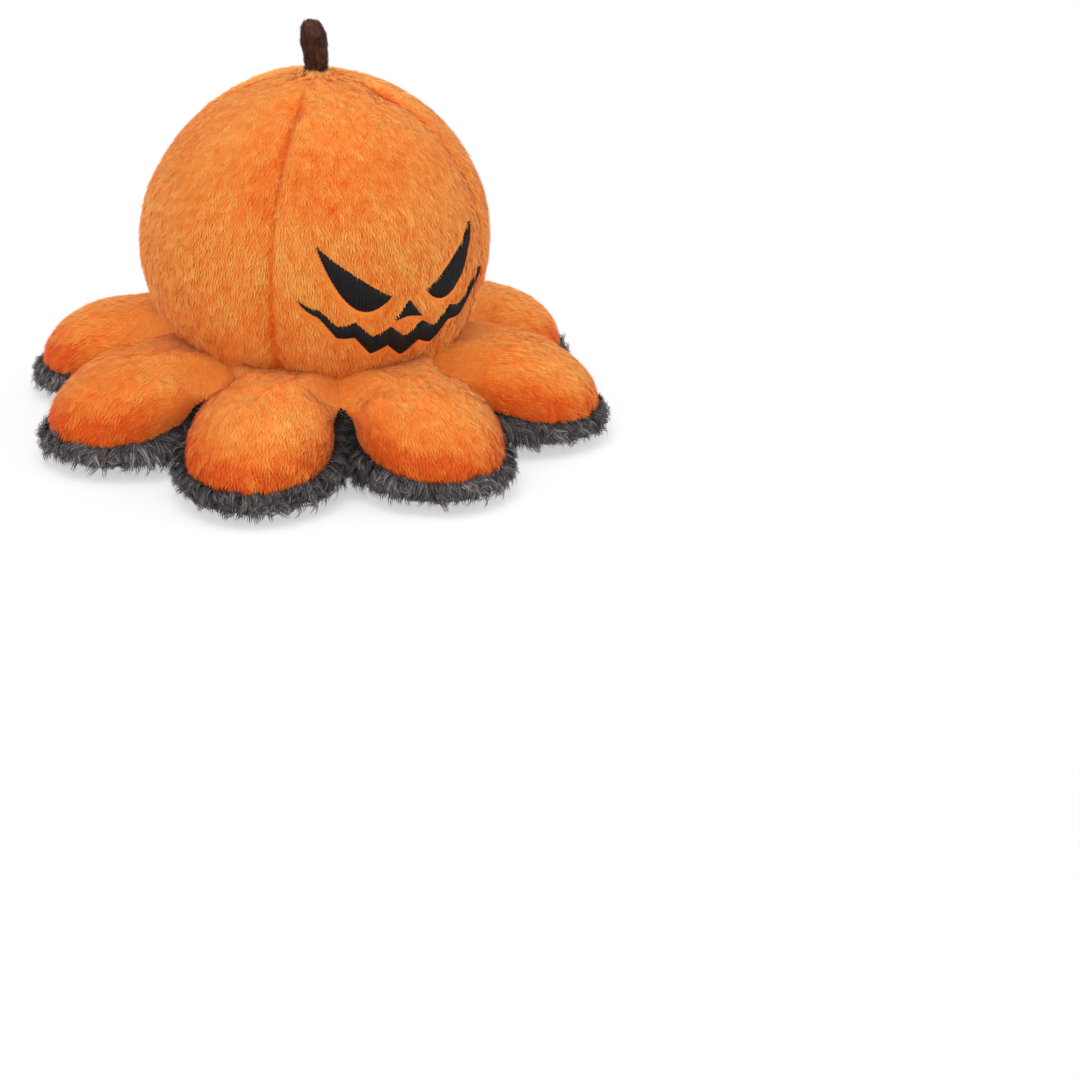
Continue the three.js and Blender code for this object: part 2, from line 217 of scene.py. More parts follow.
def newTree(name, sockets):
    tree = bpy.data.node_groups.new(name, "GeometryNodeTree")
    for label, kind in sockets:
        tree.interface.new_socket(name=label, in_out="INPUT", socket_type="NodeSocket" + kind)
    tree.interface.new_socket(name="Geometry", in_out="OUTPUT", socket_type="NodeSocketGeometry")
    return tree, tree.nodes.new("NodeGroupInput").outputs


# gives an object a node tree, with its inputs set by their sockets' identifiers
def dress(piece, tree, values):
    nodes = piece.modifiers.new(tree.name, "NODES")
    nodes.node_group = tree
    for item in tree.interface.items_tree:
        if item.in_out == "INPUT" and item.name in values:
            nodes[item.identifier] = values[item.name]
    return settle(piece)


# Materials

def newMaterial(name, roughness, sheen, shine):
    material = bpy.data.materials.new(name)
    material.use_nodes = True
    tree = material.node_tree
    shader = tree.nodes["Principled BSDF"]
    shader.inputs["Roughness"].default_value = roughness
    shader.inputs["Sheen Weight"].default_value = sheen
    shader.inputs["Sheen Roughness"].default_value = 0.45
    shader.inputs["Specular IOR Level"].default_value = shine
    return material, tree, shader


def colourRamp(tree, value, colours):
    ramp = addNode(tree, "ShaderNodeValToRGB", {"Fac": value})
    stops = ramp.color_ramp.elements
    stops.remove(stops[1])
    for i, colour in enumerate(colours):
        stop = stops.new(i / (len(colours) - 1)) if i else stops[0]
        stop.color = (*colour, 1)
    return ramp.outputs["Color"]


# fibres: the map's U picks the fibre's tone and its V runs from root to tip, where the fibre darkens: painted
# shade deep in the pile
def fibreMaterial(name, look):
    material, tree, shader = newMaterial(name, look["roughness"], look["sheen"], look["shine"])
    spot = addNode(tree, "ShaderNodeUVMap", uv_map="OFBake")
    split = addNode(tree, "ShaderNodeSeparateXYZ", {0: spot.outputs["UV"]})
    tone = colourRamp(tree, split.outputs["X"], look["tones"])
    shade = colourRamp(tree, split.outputs["Y"], look["rootToTip"])
    mix = addNode(tree, "ShaderNodeMix", {"Factor": 1.0, "A": tone, "B": shade},
                  data_type="RGBA", blend_type="MULTIPLY")
    tree.links.new(mix.outputs["Result"], shader.inputs["Base Color"])
    return material


# colours a shader by a fine noise and gives that noise back
def grainColour(tree, shader, colours, scale, detail):
    place = addNode(tree, "ShaderNodeTexCoord")
    grain = noiseTexture(tree, place.outputs["Object"], scale, detail)["Fac"]
    tree.links.new(colourRamp(tree, grain, colours), shader.inputs["Base Color"])
    return grain


# backing cloth below the pile, seen only in partings
def clothMaterial(name, colours, size):
    material, tree, shader = newMaterial(name, 0.95, 0.1, 0.1)
    knit = grainColour(tree, shader, colours, 1 / size, 3.0)
    bump = addNode(tree, "ShaderNodeBump", {"Height": knit, "Distance": size / 2, "Strength": 0.5})
    tree.links.new(bump.outputs["Normal"], shader.inputs["Normal"])
    return material


def threadMaterial(name, colours, roughness):
    material, tree, shader = newMaterial(name, roughness, 0.0, 0.2)
    grainColour(tree, shader, colours, 900.0, 2.0)
    return material


# rootToTip darkens each fibre towards its root: painted shade deep in the pile, tinted red in the orange pile
orangePile = dict(roughness=0.8, sheen=0.12, shine=0.15,
                  rootToTip=((0.96, 0.60, 0.35), (0.98, 0.80, 0.62), (1, 0.97, 0.94), (1, 1, 1)),
                  tones=((0.80, 0.10, 0.010), (0.88, 0.225, 0.030), (0.90, 0.33, 0.060), (0.93, 0.48, 0.12)))
greyPile = dict(roughness=0.7, sheen=0.15, shine=0.2,
                rootToTip=((0.12, 0.12, 0.12), (0.35, 0.35, 0.35), (0.9, 0.9, 0.9), (1.6, 1.6, 1.6)),
                tones=((0.024, 0.020, 0.020), (0.067, 0.057, 0.057), (0.175, 0.153, 0.153),
                       (0.52, 0.48, 0.48)))
brownPile = dict(roughness=0.85, sheen=0.05, shine=0.1,
                 rootToTip=((0.5, 0.5, 0.5), (0.8, 0.8, 0.8), (1, 1, 1)),
                 tones=((0.024, 0.008, 0.005), (0.078, 0.027, 0.017), (0.21, 0.087, 0.058)))
orangeFibre = fibreMaterial("orange_pile", orangePile)
greyFibre = fibreMaterial("grey_pile", greyPile)
brownFibre = fibreMaterial("brown_pile", brownPile)
orangeCloth = clothMaterial("orange_backing", ((0.86, 0.21, 0.028), (0.92, 0.29, 0.05)), 0.0012)
greyCloth = clothMaterial("grey_backing", ((0.035, 0.032, 0.034), (0.09, 0.084, 0.088)), 0.0012)
brownCloth = clothMaterial("brown_backing", ((0.015, 0.007, 0.005), (0.05, 0.022, 0.015)), 0.0009)
blackThread = threadMaterial("black_satin_thread", ((0.003, 0.003, 0.003), (0.014, 0.012, 0.013)), 0.6)
whiteThread = threadMaterial("white_satin_thread", ((0.62, 0.60, 0.56), (0.85, 0.83, 0.79)), 0.5)


# Pile: strands spread over a skin, leaning along its nap attribute

strand = dict(tilt=(0.45, 0.3, 0.9), shortest=0.7, longest=1.12, bareMargin=0.0007, besideStitches=0.25,
              mapStart=0.03, mapSpan=0.94, mapWidth=0.003)


def strandTree():
    tree, given = newTree("pileStrands", [
        ("Geometry", "Geometry"), ("Tuft", "Object"), ("Bare Patch", "Object"), ("Bare Margin", "Float"),
        ("Density", "Float"), ("Length", "Float"), ("Ruffle", "Float"), ("Ruffle Size", "Float"),
        ("Lock Depth", "Float"), ("Patch Size", "Float"), ("Patch Depth", "Float"), ("Tone Chance", "Float"),
        ("Scatter", "Float"), ("Seed", "Int"), ("Floor", "Float"), ("Fibre", "Material")])
    node, calc = partial(addNode, tree), partial(sums, tree)
    vector, field = partial(vectorSums, tree), partial(attribute, tree)
    spread = node("GeometryNodeDistributePointsOnFaces", {
        "Mesh": given["Geometry"], "Seed": given["Seed"],
        "Density": calc("MULTIPLY", given["Density"], field("thick"))})
    # nothing grows through the stitching
    patch = node("GeometryNodeObjectInfo", {"Object": given["Bare Patch"]})
    near = node("GeometryNodeProximity", {0: patch.outputs["Geometry"]}, target_element="FACES").outputs
    close = calc("LESS_THAN", near["Distance"], given["Bare Margin"])
    bare = node("GeometryNodeDeleteGeometry", {
        "Geometry": spread.outputs["Points"],
        "Selection": calc("MULTIPLY", close, near["Is Valid"])}, domain="POINT")
    # locks: neighbouring strands turn and grow alike
    spot = node("GeometryNodeInputPosition").outputs[0]
    lock = noiseTexture(tree, spot, calc("DIVIDE", 1.0, given["Ruffle Size"]), 1.5)
    ruffled = field("ruffled")
    swirl = vector("SCALE", vector("SUBTRACT", lock["Color"], (0.5, 0.5, 0.5)),
                   calc("MULTIPLY", given["Ruffle"], ruffled))
    lean = vector("ADD", field("nap", "FLOAT_VECTOR"), swirl)
    patches = noiseTexture(tree, spot, calc("DIVIDE", 1.0, given["Patch Size"]), 1.0)
    patchTone = calc("MULTIPLY", calc("SUBTRACT", patches["Fac"], 0.5), given["Patch Depth"])
    lockTone = calc("MULTIPLY", calc("SUBTRACT", lock["Fac"], 0.5),
                    calc("MULTIPLY", given["Lock Depth"], ruffled))
    chance = node("FunctionNodeRandomValue", {
        2: calc("MULTIPLY", given["Tone Chance"], -1.0), 3: given["Tone Chance"], "Seed": 3})
    tone = calc("ADD", calc("ADD", field("tone"), patchTone), calc("ADD", lockTone, chance.outputs[1]))
    marked = node("GeometryNodeStoreNamedAttribute", {
        "Geometry": bare.outputs[0], "Name": "strandTone",
        "Value": node("ShaderNodeClamp", {0: tone}).outputs[0]}, data_type="FLOAT", domain="POINT")
    upright = node("FunctionNodeAlignRotationToVector", {"Vector": field("out", "FLOAT_VECTOR")}, axis="Z")
    turned = node("FunctionNodeAlignRotationToVector",
                  {"Rotation": upright.outputs[0], "Vector": lean}, axis="Y", pivot_axis="Z")
    reach = vector("SCALE", strand["tilt"], given["Scatter"])
    tilt = node("FunctionNodeRandomValue", {0: vector("SCALE", reach, -1.0), 1: reach, "Seed": 1},
                data_type="FLOAT_VECTOR")
    turn = node("FunctionNodeEulerToRotation", {0: tilt.outputs[0]})
    tilted = node("FunctionNodeRotateRotation", {0: turned.outputs[0], 1: turn.outputs[0]},
                  rotation_space="LOCAL")
    growth = node("FunctionNodeRandomValue", {2: strand["shortest"], 3: strand["longest"], "Seed": 2})
    # the pile is short beside the stitching, so its edge stays crisp
    beside = node("ShaderNodeMapRange", {
        "Value": near["Distance"], "From Min": given["Bare Margin"], "From Max": given["Length"],
        "To Min": strand["besideStitches"], "To Max": 1.0})
    beside = calc("MAXIMUM", beside.outputs[0], calc("SUBTRACT", 1.0, near["Is Valid"]))
    long = calc("MULTIPLY", calc("MULTIPLY", given["Length"], field("pile")),
                calc("MULTIPLY", growth.outputs[1], calc("ADD", lock["Fac"], 0.5)))
    long = calc("MULTIPLY", long, beside)
    size = node("ShaderNodeCombineXYZ", {
        0: given["Length"], 1: long, 2: calc("MULTIPLY", long, field("lift"))})
    tuft = node("GeometryNodeObjectInfo", {"Object": given["Tuft"]})
    planted = node("GeometryNodeInstanceOnPoints", {
        "Points": marked.outputs[0], "Instance": tuft.outputs["Geometry"],
        "Rotation": tilted.outputs[0], "Scale": size.outputs[0]})
    grown = node("GeometryNodeRealizeInstances", {"Geometry": planted.outputs[0]})
    # tips bend up where they would pass through the floor
    x, y, z = node("ShaderNodeSeparateXYZ", {0: spot}).outputs
    raised = node("ShaderNodeCombineXYZ", {0: x, 1: y, 2: calc("MAXIMUM", z, given["Floor"])})
    stood = node("GeometryNodeSetPosition", {"Geometry": grown.outputs[0], "Position": raised.outputs[0]})
    shaded = node("ShaderNodeClamp", {0: calc("ADD", field("strandTone"), field("shade"))})
    u = calc("ADD", calc("MULTIPLY_ADD", shaded.outputs[0], strand["mapSpan"], strand["mapStart"]),
             calc("MULTIPLY", field("side"), strand["mapWidth"]))
    v = calc("MULTIPLY_ADD", field("along"), strand["mapSpan"], strand["mapStart"])
    mapped = node("GeometryNodeStoreNamedAttribute", {
        "Geometry": stood.outputs[0], "Name": "OFBake",
        "Value": node("ShaderNodeCombineXYZ", {0: u, 1: v}).outputs[0]}, data_type="FLOAT2", domain="CORNER")
    coloured = node("GeometryNodeSetMaterial", {"Geometry": mapped.outputs[0], "Material": given["Fibre"]})
    node("NodeGroupOutput", {0: coloured.outputs[0]})
    return tree


tuftLook = dict(shortest=0.8, lengthSpread=0.4, twistSpread=1.6)
shortLook = dict(tuftLook, path=[(0, 0), (0.39, 0.30), (0.94, 0.39)], taper=[1.0, 0.9, 0], strands=4,
                 spread=0.42, gather=0.1, wide=0.12, toneSpread=0.45)
longLook = dict(tuftLook, path=[(0, 0), (0.18, 0.42), (0.56, 0.66), (0.96, 0.52)],
                taper=[0.8, 1.0, 0.8, 0], strands=7, spread=0.2, gather=0.45, wide=0.05, toneSpread=0.6)


# A tuft of unit length, rising along Z and falling over towards Y. Its strands stand apart at the roots and
# gather at the tips, and each has its own length, turn and tone.
def tuftShape(name, look):
    points, along, side, shade, faces = [], [], [], [], []
    path, count = look["path"], look["strands"]
    # uneven steps, so that no two strands are alike
    turnStep, growStep, twistStep, toneStep = 2.4, 0.618, 0.382, 0.755
    for k in range(count):
        first = len(points)
        reach = look["spread"] * math.sqrt((k + 0.5) / count)
        turn = turnStep * k
        grow = look["shortest"] + look["lengthSpread"] * (growStep * k % 1)
        twist = look["twistSpread"] * (twistStep * k % 1 - 0.5)
        tone = look["toneSpread"] * (toneStep * k % 1 - 0.5)
        for i, ((forth, up), wide) in enumerate(zip(path, look["taper"])):
            share = i / (len(path) - 1)
            apart = reach * (1 - look["gather"] * share)
            for s in ((-0.5, 0.5) if wide > 0 else (0,)):
                off = s * wide * look["wide"]
                points.append((apart * math.cos(turn) + off * math.cos(twist),
                               apart * math.sin(turn) + off * math.sin(twist) + forth * grow, up * grow))
                along.append(share)
                side.append(2 * s)
                shade.append(tone)
        faces += [tuple(first + 2 * i + c for c in (0, 1, 3, 2)) for i in range(len(path) - 2)]
        faces.append(tuple(first + 2 * len(path) - c for c in (4, 3, 2)))
    tuft = meshObject(name, points, faces)
    for label, values in (("along", along), ("side", side), ("shade", shade)):
        tuft.data.attributes.new(label, "FLOAT", "POINT").data.foreach_set("value", values)
    tuft.hide_render = True
    return tuft


pileStrands = strandTree()
shortTuft = tuftShape("short_tuft", shortLook)
longTuft = tuftShape("long_tuft", longLook)
noPatch = meshObject("no_patch", [], [])


# strands take most of their shading from the skin below them, as dense pile does
def softenShading(mesh, share):
    skin = np.zeros(len(mesh.vertices) * 3, np.float32)
    mesh.attributes["out"].data.foreach_get("vector", skin)
    mixed = share * skin.reshape(-1, 3) + (1 - share) * perPoint(mesh, "normal")
    mixed /= np.maximum(np.linalg.norm(mixed, axis=1), 1e-6)[:, None]
    mesh.polygons.foreach_set("use_smooth", [True] * len(mesh.polygons))
    mesh.normals_split_custom_set_from_vertices(mixed.tolist())


# each of the skin's fields is a value or a direction for every point
def growPile(name, skin, settings, fields, seed, bare=None):
    mesh = skin.data
    even = np.ones(len(mesh.vertices))
    fields = {"thick": even, "ruffled": even, "lift": even, **fields, "out": normalsOf(skin)}
    for label, values in fields.items():
        kind, what = ("FLOAT_VECTOR", "vector") if values.ndim == 2 else ("FLOAT", "value")
        slot = mesh.attributes.new(label, kind, "POINT")
        slot.data.foreach_set(what, values.astype(np.float32).ravel())
    pile = newObject(name, mesh.copy())
    dress(pile, pileStrands, {
        "Tuft": settings["tuft"], "Bare Patch": bare or noPatch, "Bare Margin": strand["bareMargin"],
        "Density": settings["perSquareMm"] * 1e6, "Length": settings["length"], "Ruffle": settings["ruffle"],
        "Ruffle Size": settings["ruffleSize"], "Lock Depth": settings["lockDepth"],
        "Patch Size": settings["patchSize"], "Patch Depth": settings["patchDepth"],
        "Tone Chance": settings["toneChance"], "Scatter": settings["scatter"], "Seed": seed,
        "Floor": settings["floor"], "Fibre": settings["fibre"]})
    softenShading(pile.data, settings["soften"])
    for label in [*fields, "strandTone", "along", "side", "shade"]:
        for owner in (mesh, pile.data):
            if label in owner.attributes:
                owner.attributes.remove(owner.attributes[label])
    return pile


domePile = dict(tuft=shortTuft, fibre=orangeFibre, perSquareMm=1.1, length=0.0026, soften=0.72,
                ruffle=1.3, ruffleSize=0.0034, lockDepth=1.0, patchSize=0.022, patchDepth=0.6,
                toneChance=0.25, scatter=0.4, floor=0.0002)
legPile = dict(domePile, length=0.0028, ruffle=1.4, ruffleSize=0.0036, lockDepth=1.1, toneChance=0.08)
solePile = dict(tuft=longTuft, fibre=greyFibre, perSquareMm=1.2, length=0.0072, soften=0.5,
                ruffle=2.6, ruffleSize=0.0042, lockDepth=0.7, patchSize=0.02, patchDepth=0.4,
                toneChance=0.24, scatter=0.65, floor=0.0002)
liningPile = dict(solePile, perSquareMm=0.22, length=0.0065, ruffle=1.6)
stemPile = dict(domePile, fibre=brownFibre, perSquareMm=2.4, length=0.0014, ruffle=1.2,
                ruffleSize=0.002, patchSize=0.006)
print("cloths and pile ready")


# Dome: four gores, crown to waist

fillRoom = 0.0012  # the panels start this much smaller and the filling swells them
dome = dict(
    radius=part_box("dome_gore_right")[1].x - fillRoom, waist=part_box("dome_gore_front")[0].z,
    equator=0.066, crown=0.1245, roundness=1.87, tuck=0.0025,
    rows=46, columns=30, seamDepth=0.0019, seamWidth=0.0013, seamTop=0.01,
    puckerRadius=0.024, puckerDepth=0.0016, puckerWidth=0.0045, dimple=0.0011, dimpleWidth=0.008,
    lumps=0.0008, lumpNoise=(0.028, 4), lumpFree=(0.002, 0.012), sag=0.0016, sagNoise=(0.055, 9),
    pinWidth=0.003, pinRise=0.008, pinCrown=(0.006, 0.012))
domeSeam = faceAngle + goreAngle / 2


# radius and height on the profile; the share runs from the crown at 0 to below the waist at 1
def domeProfile(share):
    dip = math.asin((dome["equator"] - dome["waist"] + dome["tuck"]) / dome["radius"])
    turn = share * (math.pi / 2 + dip)
    upper = np.minimum(turn, math.pi / 2)
    lower = np.maximum(turn - math.pi / 2, 0)
    power = 2 / dome["roundness"]
    radius = dome["radius"] * np.sin(upper) ** power * np.cos(lower)
    rise = (dome["crown"] - dome["equator"]) * np.maximum(np.cos(upper), 0) ** power
    return radius, dome["equator"] + rise - dome["radius"] * np.sin(lower)


# how far points are from the nearest seam, along the surface, and from the middle
def seamDistance(points, firstSeam):
    radius = np.hypot(points[:, 0], points[:, 1])
    angle = np.degrees(np.arctan2(points[:, 1], points[:, 0])) - firstSeam
    half = goreAngle / 2
    return radius * np.abs(np.radians((angle + half) % goreAngle - half)), radius


# a gore's points: its crown, then rows from seam to seam
def gorePoints(middle, columns, radius, height, crown):
    angles = middle + np.linspace(-goreAngle / 2, goreAngle / 2, columns)
    return np.concatenate([[[0, 0, crown]], lathe(angles, radius, height)])


def domePanel(index):
    radius, height = domeProfile(np.linspace(0, 1, dome["rows"] + 1)[1:])
    columns = dome["columns"]
    points = gorePoints(faceAngle + goreAngle * index, columns, radius, height, dome["crown"])
    distance, radius = seamDistance(points, domeSeam)
    # above the pucker the pile hides the seam
    dip = dome["seamDepth"] * bell(distance, dome["seamWidth"]) \
        * smoothStep(radius, dome["seamTop"], dome["puckerRadius"])
    onPucker = np.hypot(distance, radius - dome["puckerRadius"])
    drawnIn = dome["puckerDepth"] * bell(onPucker, dome["puckerWidth"]) \
        + dome["dimple"] * bell(radius, dome["dimpleWidth"])
    dip = dip + drawnIn * (points[:, 2] > dome["equator"])
    outward = points - [0, 0, dome["equator"]]
    outward /= np.linalg.norm(outward, axis=1)[:, None]
    lump = dome["lumps"] * wander(points, *dome["lumpNoise"]) * smoothStep(distance, *dome["lumpFree"])
    lump = lump + dome["sag"] * wander(points, *dome["sagNoise"])
    points = points + outward * (lump - dip)[:, None]
    faces = [(0, 1 + i, 2 + i) for i in range(columns - 1)] + gridFaces(dome["rows"], columns, 1)
    atWaist = 1 - smoothStep(points[:, 2], dome["waist"], dome["waist"] + dome["pinRise"])
    held = np.maximum(bell(distance, dome["pinWidth"]), atWaist)
    held = np.maximum(held, 1 - smoothStep(radius, *dome["pinCrown"]))
    return points, faces, held


# Legs: each a round petal, joined to its neighbours by a web and to the dome at the waist

hinges = {j["child"]: j["pos_m"] for j in frame["joints"]}
hingeRadius = math.hypot(*hinges["leg_right"][:2])
leg = dict(
    centre=hingeRadius + 0.0165, halfLength=0.028, halfWidth=0.0238, crown=0.034, slope=0.2, rootFall=6.0,
    tipSeam=0.0113, rootSeam=0.021, seamCurve=1.5,
    notchLead=15, notchStart=120, notch=134, notchHeight=0.0235,
    waistRadius=0.0463, waistHeight=0.0345, overlap=0.0003, ringRadius=0.054, ringHeight=0.0026,
    web=(110, 140), webEnd=150, soleWebEnd=142, fullness=2.4, saddle=0.35, spokes=72, rings=18,
    soleFloor=0.0024, soleBulge=0.06, soleBulgeEnd=(100, 120), soleFullness=4.2,
    lumps=0.0008, lumpSize=0.016, lumpSeed=10, lumpFree=0.35, pinWidth=0.08, pinRoot=(0.056, 0.066))
sectorSlope = math.tan(math.pi / 8)  # half the angle from one leg to the next


# plan radius from the leg's centre, towards each angle from its tip
def legOutline(turn, innerRadius):
    cos, sin = np.cos(turn), np.abs(np.sin(turn))
    lobe = 1 / np.sqrt((cos / leg["halfLength"]) ** 2 + (sin / leg["halfWidth"]) ** 2)
    border = (leg["centre"] * sectorSlope + leg["overlap"]) / np.maximum(sin - cos * sectorSlope, 0.05)
    miss = innerRadius ** 2 - (leg["centre"] * sin) ** 2
    inner = np.where((miss > 0) & (cos < 0), -leg["centre"] * cos - np.sqrt(np.maximum(miss, 0)), 1)
    web = np.minimum(border, inner)
    degrees = np.degrees(np.arccos(np.clip(cos, -1, 1)))
    mix = smoothStep(degrees, leg["notchStart"], leg["notch"])
    return lobe * (1 - mix) + web * mix, degrees


def seamHeight(degrees, webEnd, webHeight):
    toRoot = ((1 - np.cos(np.radians(degrees))) / 2) ** leg["seamCurve"]
    lobe = leg["tipSeam"] + (leg["rootSeam"] - leg["tipSeam"]) * toRoot
    toNotch = smoothStep(degrees, leg["notchStart"] - leg["notchLead"], leg["notch"])
    height = lobe * (1 - toNotch) + leg["notchHeight"] * toNotch
    toWaist = smoothStep(degrees, leg["notch"], webEnd)
    return height * (1 - toWaist) + webHeight * toWaist


def legGrid():
    turn = np.arange(leg["spokes"]) / leg["spokes"] * 2 * np.pi
    share = np.sin(np.arange(1, leg["rings"] + 1) / leg["rings"] * np.pi / 2)
    turns = np.concatenate([[0], np.tile(turn, leg["rings"])])
    shares = np.concatenate([[0], np.repeat(share, leg["spokes"])])
    return turns, shares


def swell(share, fullness):
    return np.maximum(1 - share ** fullness, 0) ** (1 / fullness)


def turnedBy(points, degrees):
    turn = math.radians(degrees)
    cos, sin = math.cos(turn), math.sin(turn)
    return points @ np.array([[cos, sin, 0], [-sin, cos, 0], [0, 0, 1]])


# turns leg points, with X along the leg, to the leg's place round the dome
def toLeg(points, index):
    return turnedBy(points, faceAngle + legAngle * index)


def fromLeg(points, index):
    return turnedBy(points, -(faceAngle + legAngle * index))


def coverPanel(index):
    turn, share = legGrid()
    radius, degrees = legOutline(turn, leg["waistRadius"])
    edge = seamHeight(degrees, leg["webEnd"], leg["waistHeight"])
    x = leg["centre"] + share * radius * np.cos(turn)
    y = share * radius * np.sin(turn)
    crown = leg["crown"] - leg["slope"] * (x - leg["centre"]) \
        - leg["rootFall"] * np.maximum(leg["centre"] - x, 0) ** 2
    # the lobe is round up to its seam, and the web runs level into the next leg
    webbed = smoothStep(degrees, *leg["web"])
    level = 1 - smoothStep(share, leg["saddle"], 1)
    rise = swell(share, leg["fullness"]) * (1 - webbed) + level * webbed
    points = np.stack([x, y, edge + (crown - edge) * rise], -1)
    inside = smoothStep(1 - share, 0.0, leg["lumpFree"])
    points[:, 2] += leg["lumps"] * wander(points, leg["lumpSize"], leg["lumpSeed"] + index) * inside
    held = np.maximum(bell(1 - share, leg["pinWidth"]), 1 - smoothStep(x, *leg["pinRoot"]))
    return toLeg(points, index), discFaces(leg["rings"], leg["spokes"]), held


def solePanel(index):
    turn, share = legGrid()
    radius, degrees = legOutline(turn, leg["ringRadius"])
    edge = seamHeight(degrees, leg["soleWebEnd"], leg["ringHeight"])
    z = edge - (edge - leg["soleFloor"]) * swell(share, leg["soleFullness"])
    bulge = 1 + leg["soleBulge"] * np.sin(np.pi * (edge - z) / np.maximum(edge - leg["soleFloor"], 1e-4)) \
        * (1 - smoothStep(degrees, *leg["soleBulgeEnd"]))
    x = leg["centre"] + share * radius * bulge * np.cos(turn)
    y = share * radius * bulge * np.sin(turn)
    faces = [tuple(reversed(f)) for f in discFaces(leg["rings"], leg["spokes"])]
    return toLeg(np.stack([x, y, z], -1), index), faces


# Filling: pressure swells the sewn panels away from their seams

filling = dict(pressure=40.0, stretch=0.1, bend=0.02, mass=0.002, quality=6, frames=20, cap=0.0022)


def fillPanels(panels):
    points = np.concatenate([p[0] for p in panels])
    held = np.concatenate([p[2] for p in panels])
    starts = np.cumsum([0] + [len(p[0]) for p in panels])
    faces = [tuple(i + start for i in f) for p, start in zip(panels, starts) for f in p[1]]
    plush = meshObject("plush_panels", points, faces)
    sewn = plush.vertex_groups.new(name="sewn")
    for i, weight in enumerate(held):
        sewn.add([i], float(np.clip(weight, 0, 1)), "REPLACE")
    cloth = plush.modifiers.new("filling", "CLOTH")
    cloth.settings.quality = filling["quality"]
    cloth.settings.mass = filling["mass"]
    cloth.settings.use_pressure = True
    cloth.settings.uniform_pressure_force = filling["pressure"]
    for pull in ("tension", "compression", "shear"):
        setattr(cloth.settings, pull + "_stiffness", filling["stretch"])
    cloth.settings.bending_stiffness = filling["bend"]
    cloth.settings.vertex_group_mass = "sewn"
    cloth.settings.effector_weights.gravity = 0
    cloth.collision_settings.use_collision = False
    cloth.point_cache.frame_start, cloth.point_cache.frame_end = 1, filling["frames"]
    for step in range(1, filling["frames"] + 1):
        scene.frame_set(step)
    swollen = plush.evaluated_get(bpy.context.evaluated_depsgraph_get()).data
    move = np.nan_to_num(perPoint(swollen, "co") - points)
    far = np.linalg.norm(move, axis=1)
    print("filled: panels moved by", round(far.mean() * 1000, 2), "mm, at most", round(far.max() * 1000, 2))
    move *= (np.minimum(far, filling["cap"]) / np.maximum(far, 1e-9))[:, None]
    scene.frame_set(1)
    bpy.data.objects.remove(plush)
    return [points[a:b] + move[a:b] for a, b in zip(starts, starts[1:])]


panels = [domePanel(i) for i in range(4)] + [coverPanel(i) for i in range(8)]
filled = fillPanels(panels)
domeSkins = [smoothPanel("dome_skin_" + sides[i], filled[i], panels[i][1]) for i in range(4)]
coverSkins = [smoothPanel("leg_%s_cover_skin" % places[i], filled[4 + i], panels[4 + i][1]) for i in range(8)]
soleSkins = [smoothPanel("leg_%s_sole_skin" % places[i], *solePanel(i)) for i in range(8)]
print("panels sewn and filled")


# Lining: the spider's skin, inside the dome

lining = dict(
    radius=0.04186, equator=0.060, crown=0.107, mouth=0.03786, rim=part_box("lining_gore_front")[0].z,
    twist=22.5, rows=30, columns=16, upperRows=0.52, seamDepth=0.0012, seamWidth=0.002, seamTop=0.01)
liningSeam = domeSeam + lining["twist"]


# radius at a height, from the crown to the rim
def liningRadius(height):
    up = np.clip((height - lining["equator"]) / (lining["crown"] - lining["equator"]), 0, 1)
    down = np.clip((lining["equator"] - height) / (lining["equator"] - lining["rim"]), 0, 1)
    return lining["radius"] * np.sqrt(1 - up ** 2) - (lining["radius"] - lining["mouth"]) * down ** 2


def liningPanel(index):
    equator, split, columns = lining["equator"], lining["upperRows"], lining["columns"]
    turn = np.linspace(0, 1, lining["rows"] + 1)[1:]
    upper = np.minimum(turn / split, 1)
    height = np.where(turn < split, equator + (lining["crown"] - equator) * np.cos(upper * np.pi / 2),
                      equator - (equator - lining["rim"]) * (turn - split) / (1 - split))
    middle = faceAngle + lining["twist"] + goreAngle * index
    points = gorePoints(middle, columns, liningRadius(height), height, lining["crown"])
    distance, radius = seamDistance(points, liningSeam)
    dip = lining["seamDepth"] * bell(distance, lining["seamWidth"])
    dip = dip * np.clip(radius / lining["seamTop"], 0, 1)
    points[:, :2] *= (1 + dip / np.maximum(radius, 0.002))[:, None]
    faces = [(0, 2 + i, 1 + i) for i in range(columns - 1)]
    faces += [tuple(reversed(f)) for f in gridFaces(lining["rows"], columns, 1)]
    return points, faces


liningSkins = [smoothPanel("lining_skin_" + sides[i], *liningPanel(i)) for i in range(4)]


# Ring of sole fur between the mouth and the legs

skirtRing = dict(rows=9, columns=97, across=[0, 0.25, 0.6, 1],
                 heights=[lining["rim"], 0.0026, 0.0022, leg["ringHeight"]])


# joins the ring's ends and faces it down
def closeRing(mesh):
    bmesh.ops.remove_doubles(mesh, verts=mesh.verts, dist=1e-6)
    bmesh.ops.recalc_face_normals(mesh, faces=mesh.faces)
    if sum(f.normal.z for f in mesh.faces) > 0:
        bmesh.ops.reverse_faces(mesh, faces=mesh.faces)


def ringPanel():
    rows, columns = skirtRing["rows"], skirtRing["columns"]
    across = np.linspace(0, 1, rows)
    radius = lining["mouth"] + (leg["ringRadius"] - lining["mouth"]) * across
    height = np.interp(across, skirtRing["across"], skirtRing["heights"])
    points = lathe(np.linspace(0, 360, columns), radius, height)
    ring = smoothPanel("skirt_ring_skin", points, gridFaces(rows, columns))
    editMesh(ring, closeRing)
    return ring


ringSkin = ringPanel()


# Embroidery: satin stitches side by side over a low pad

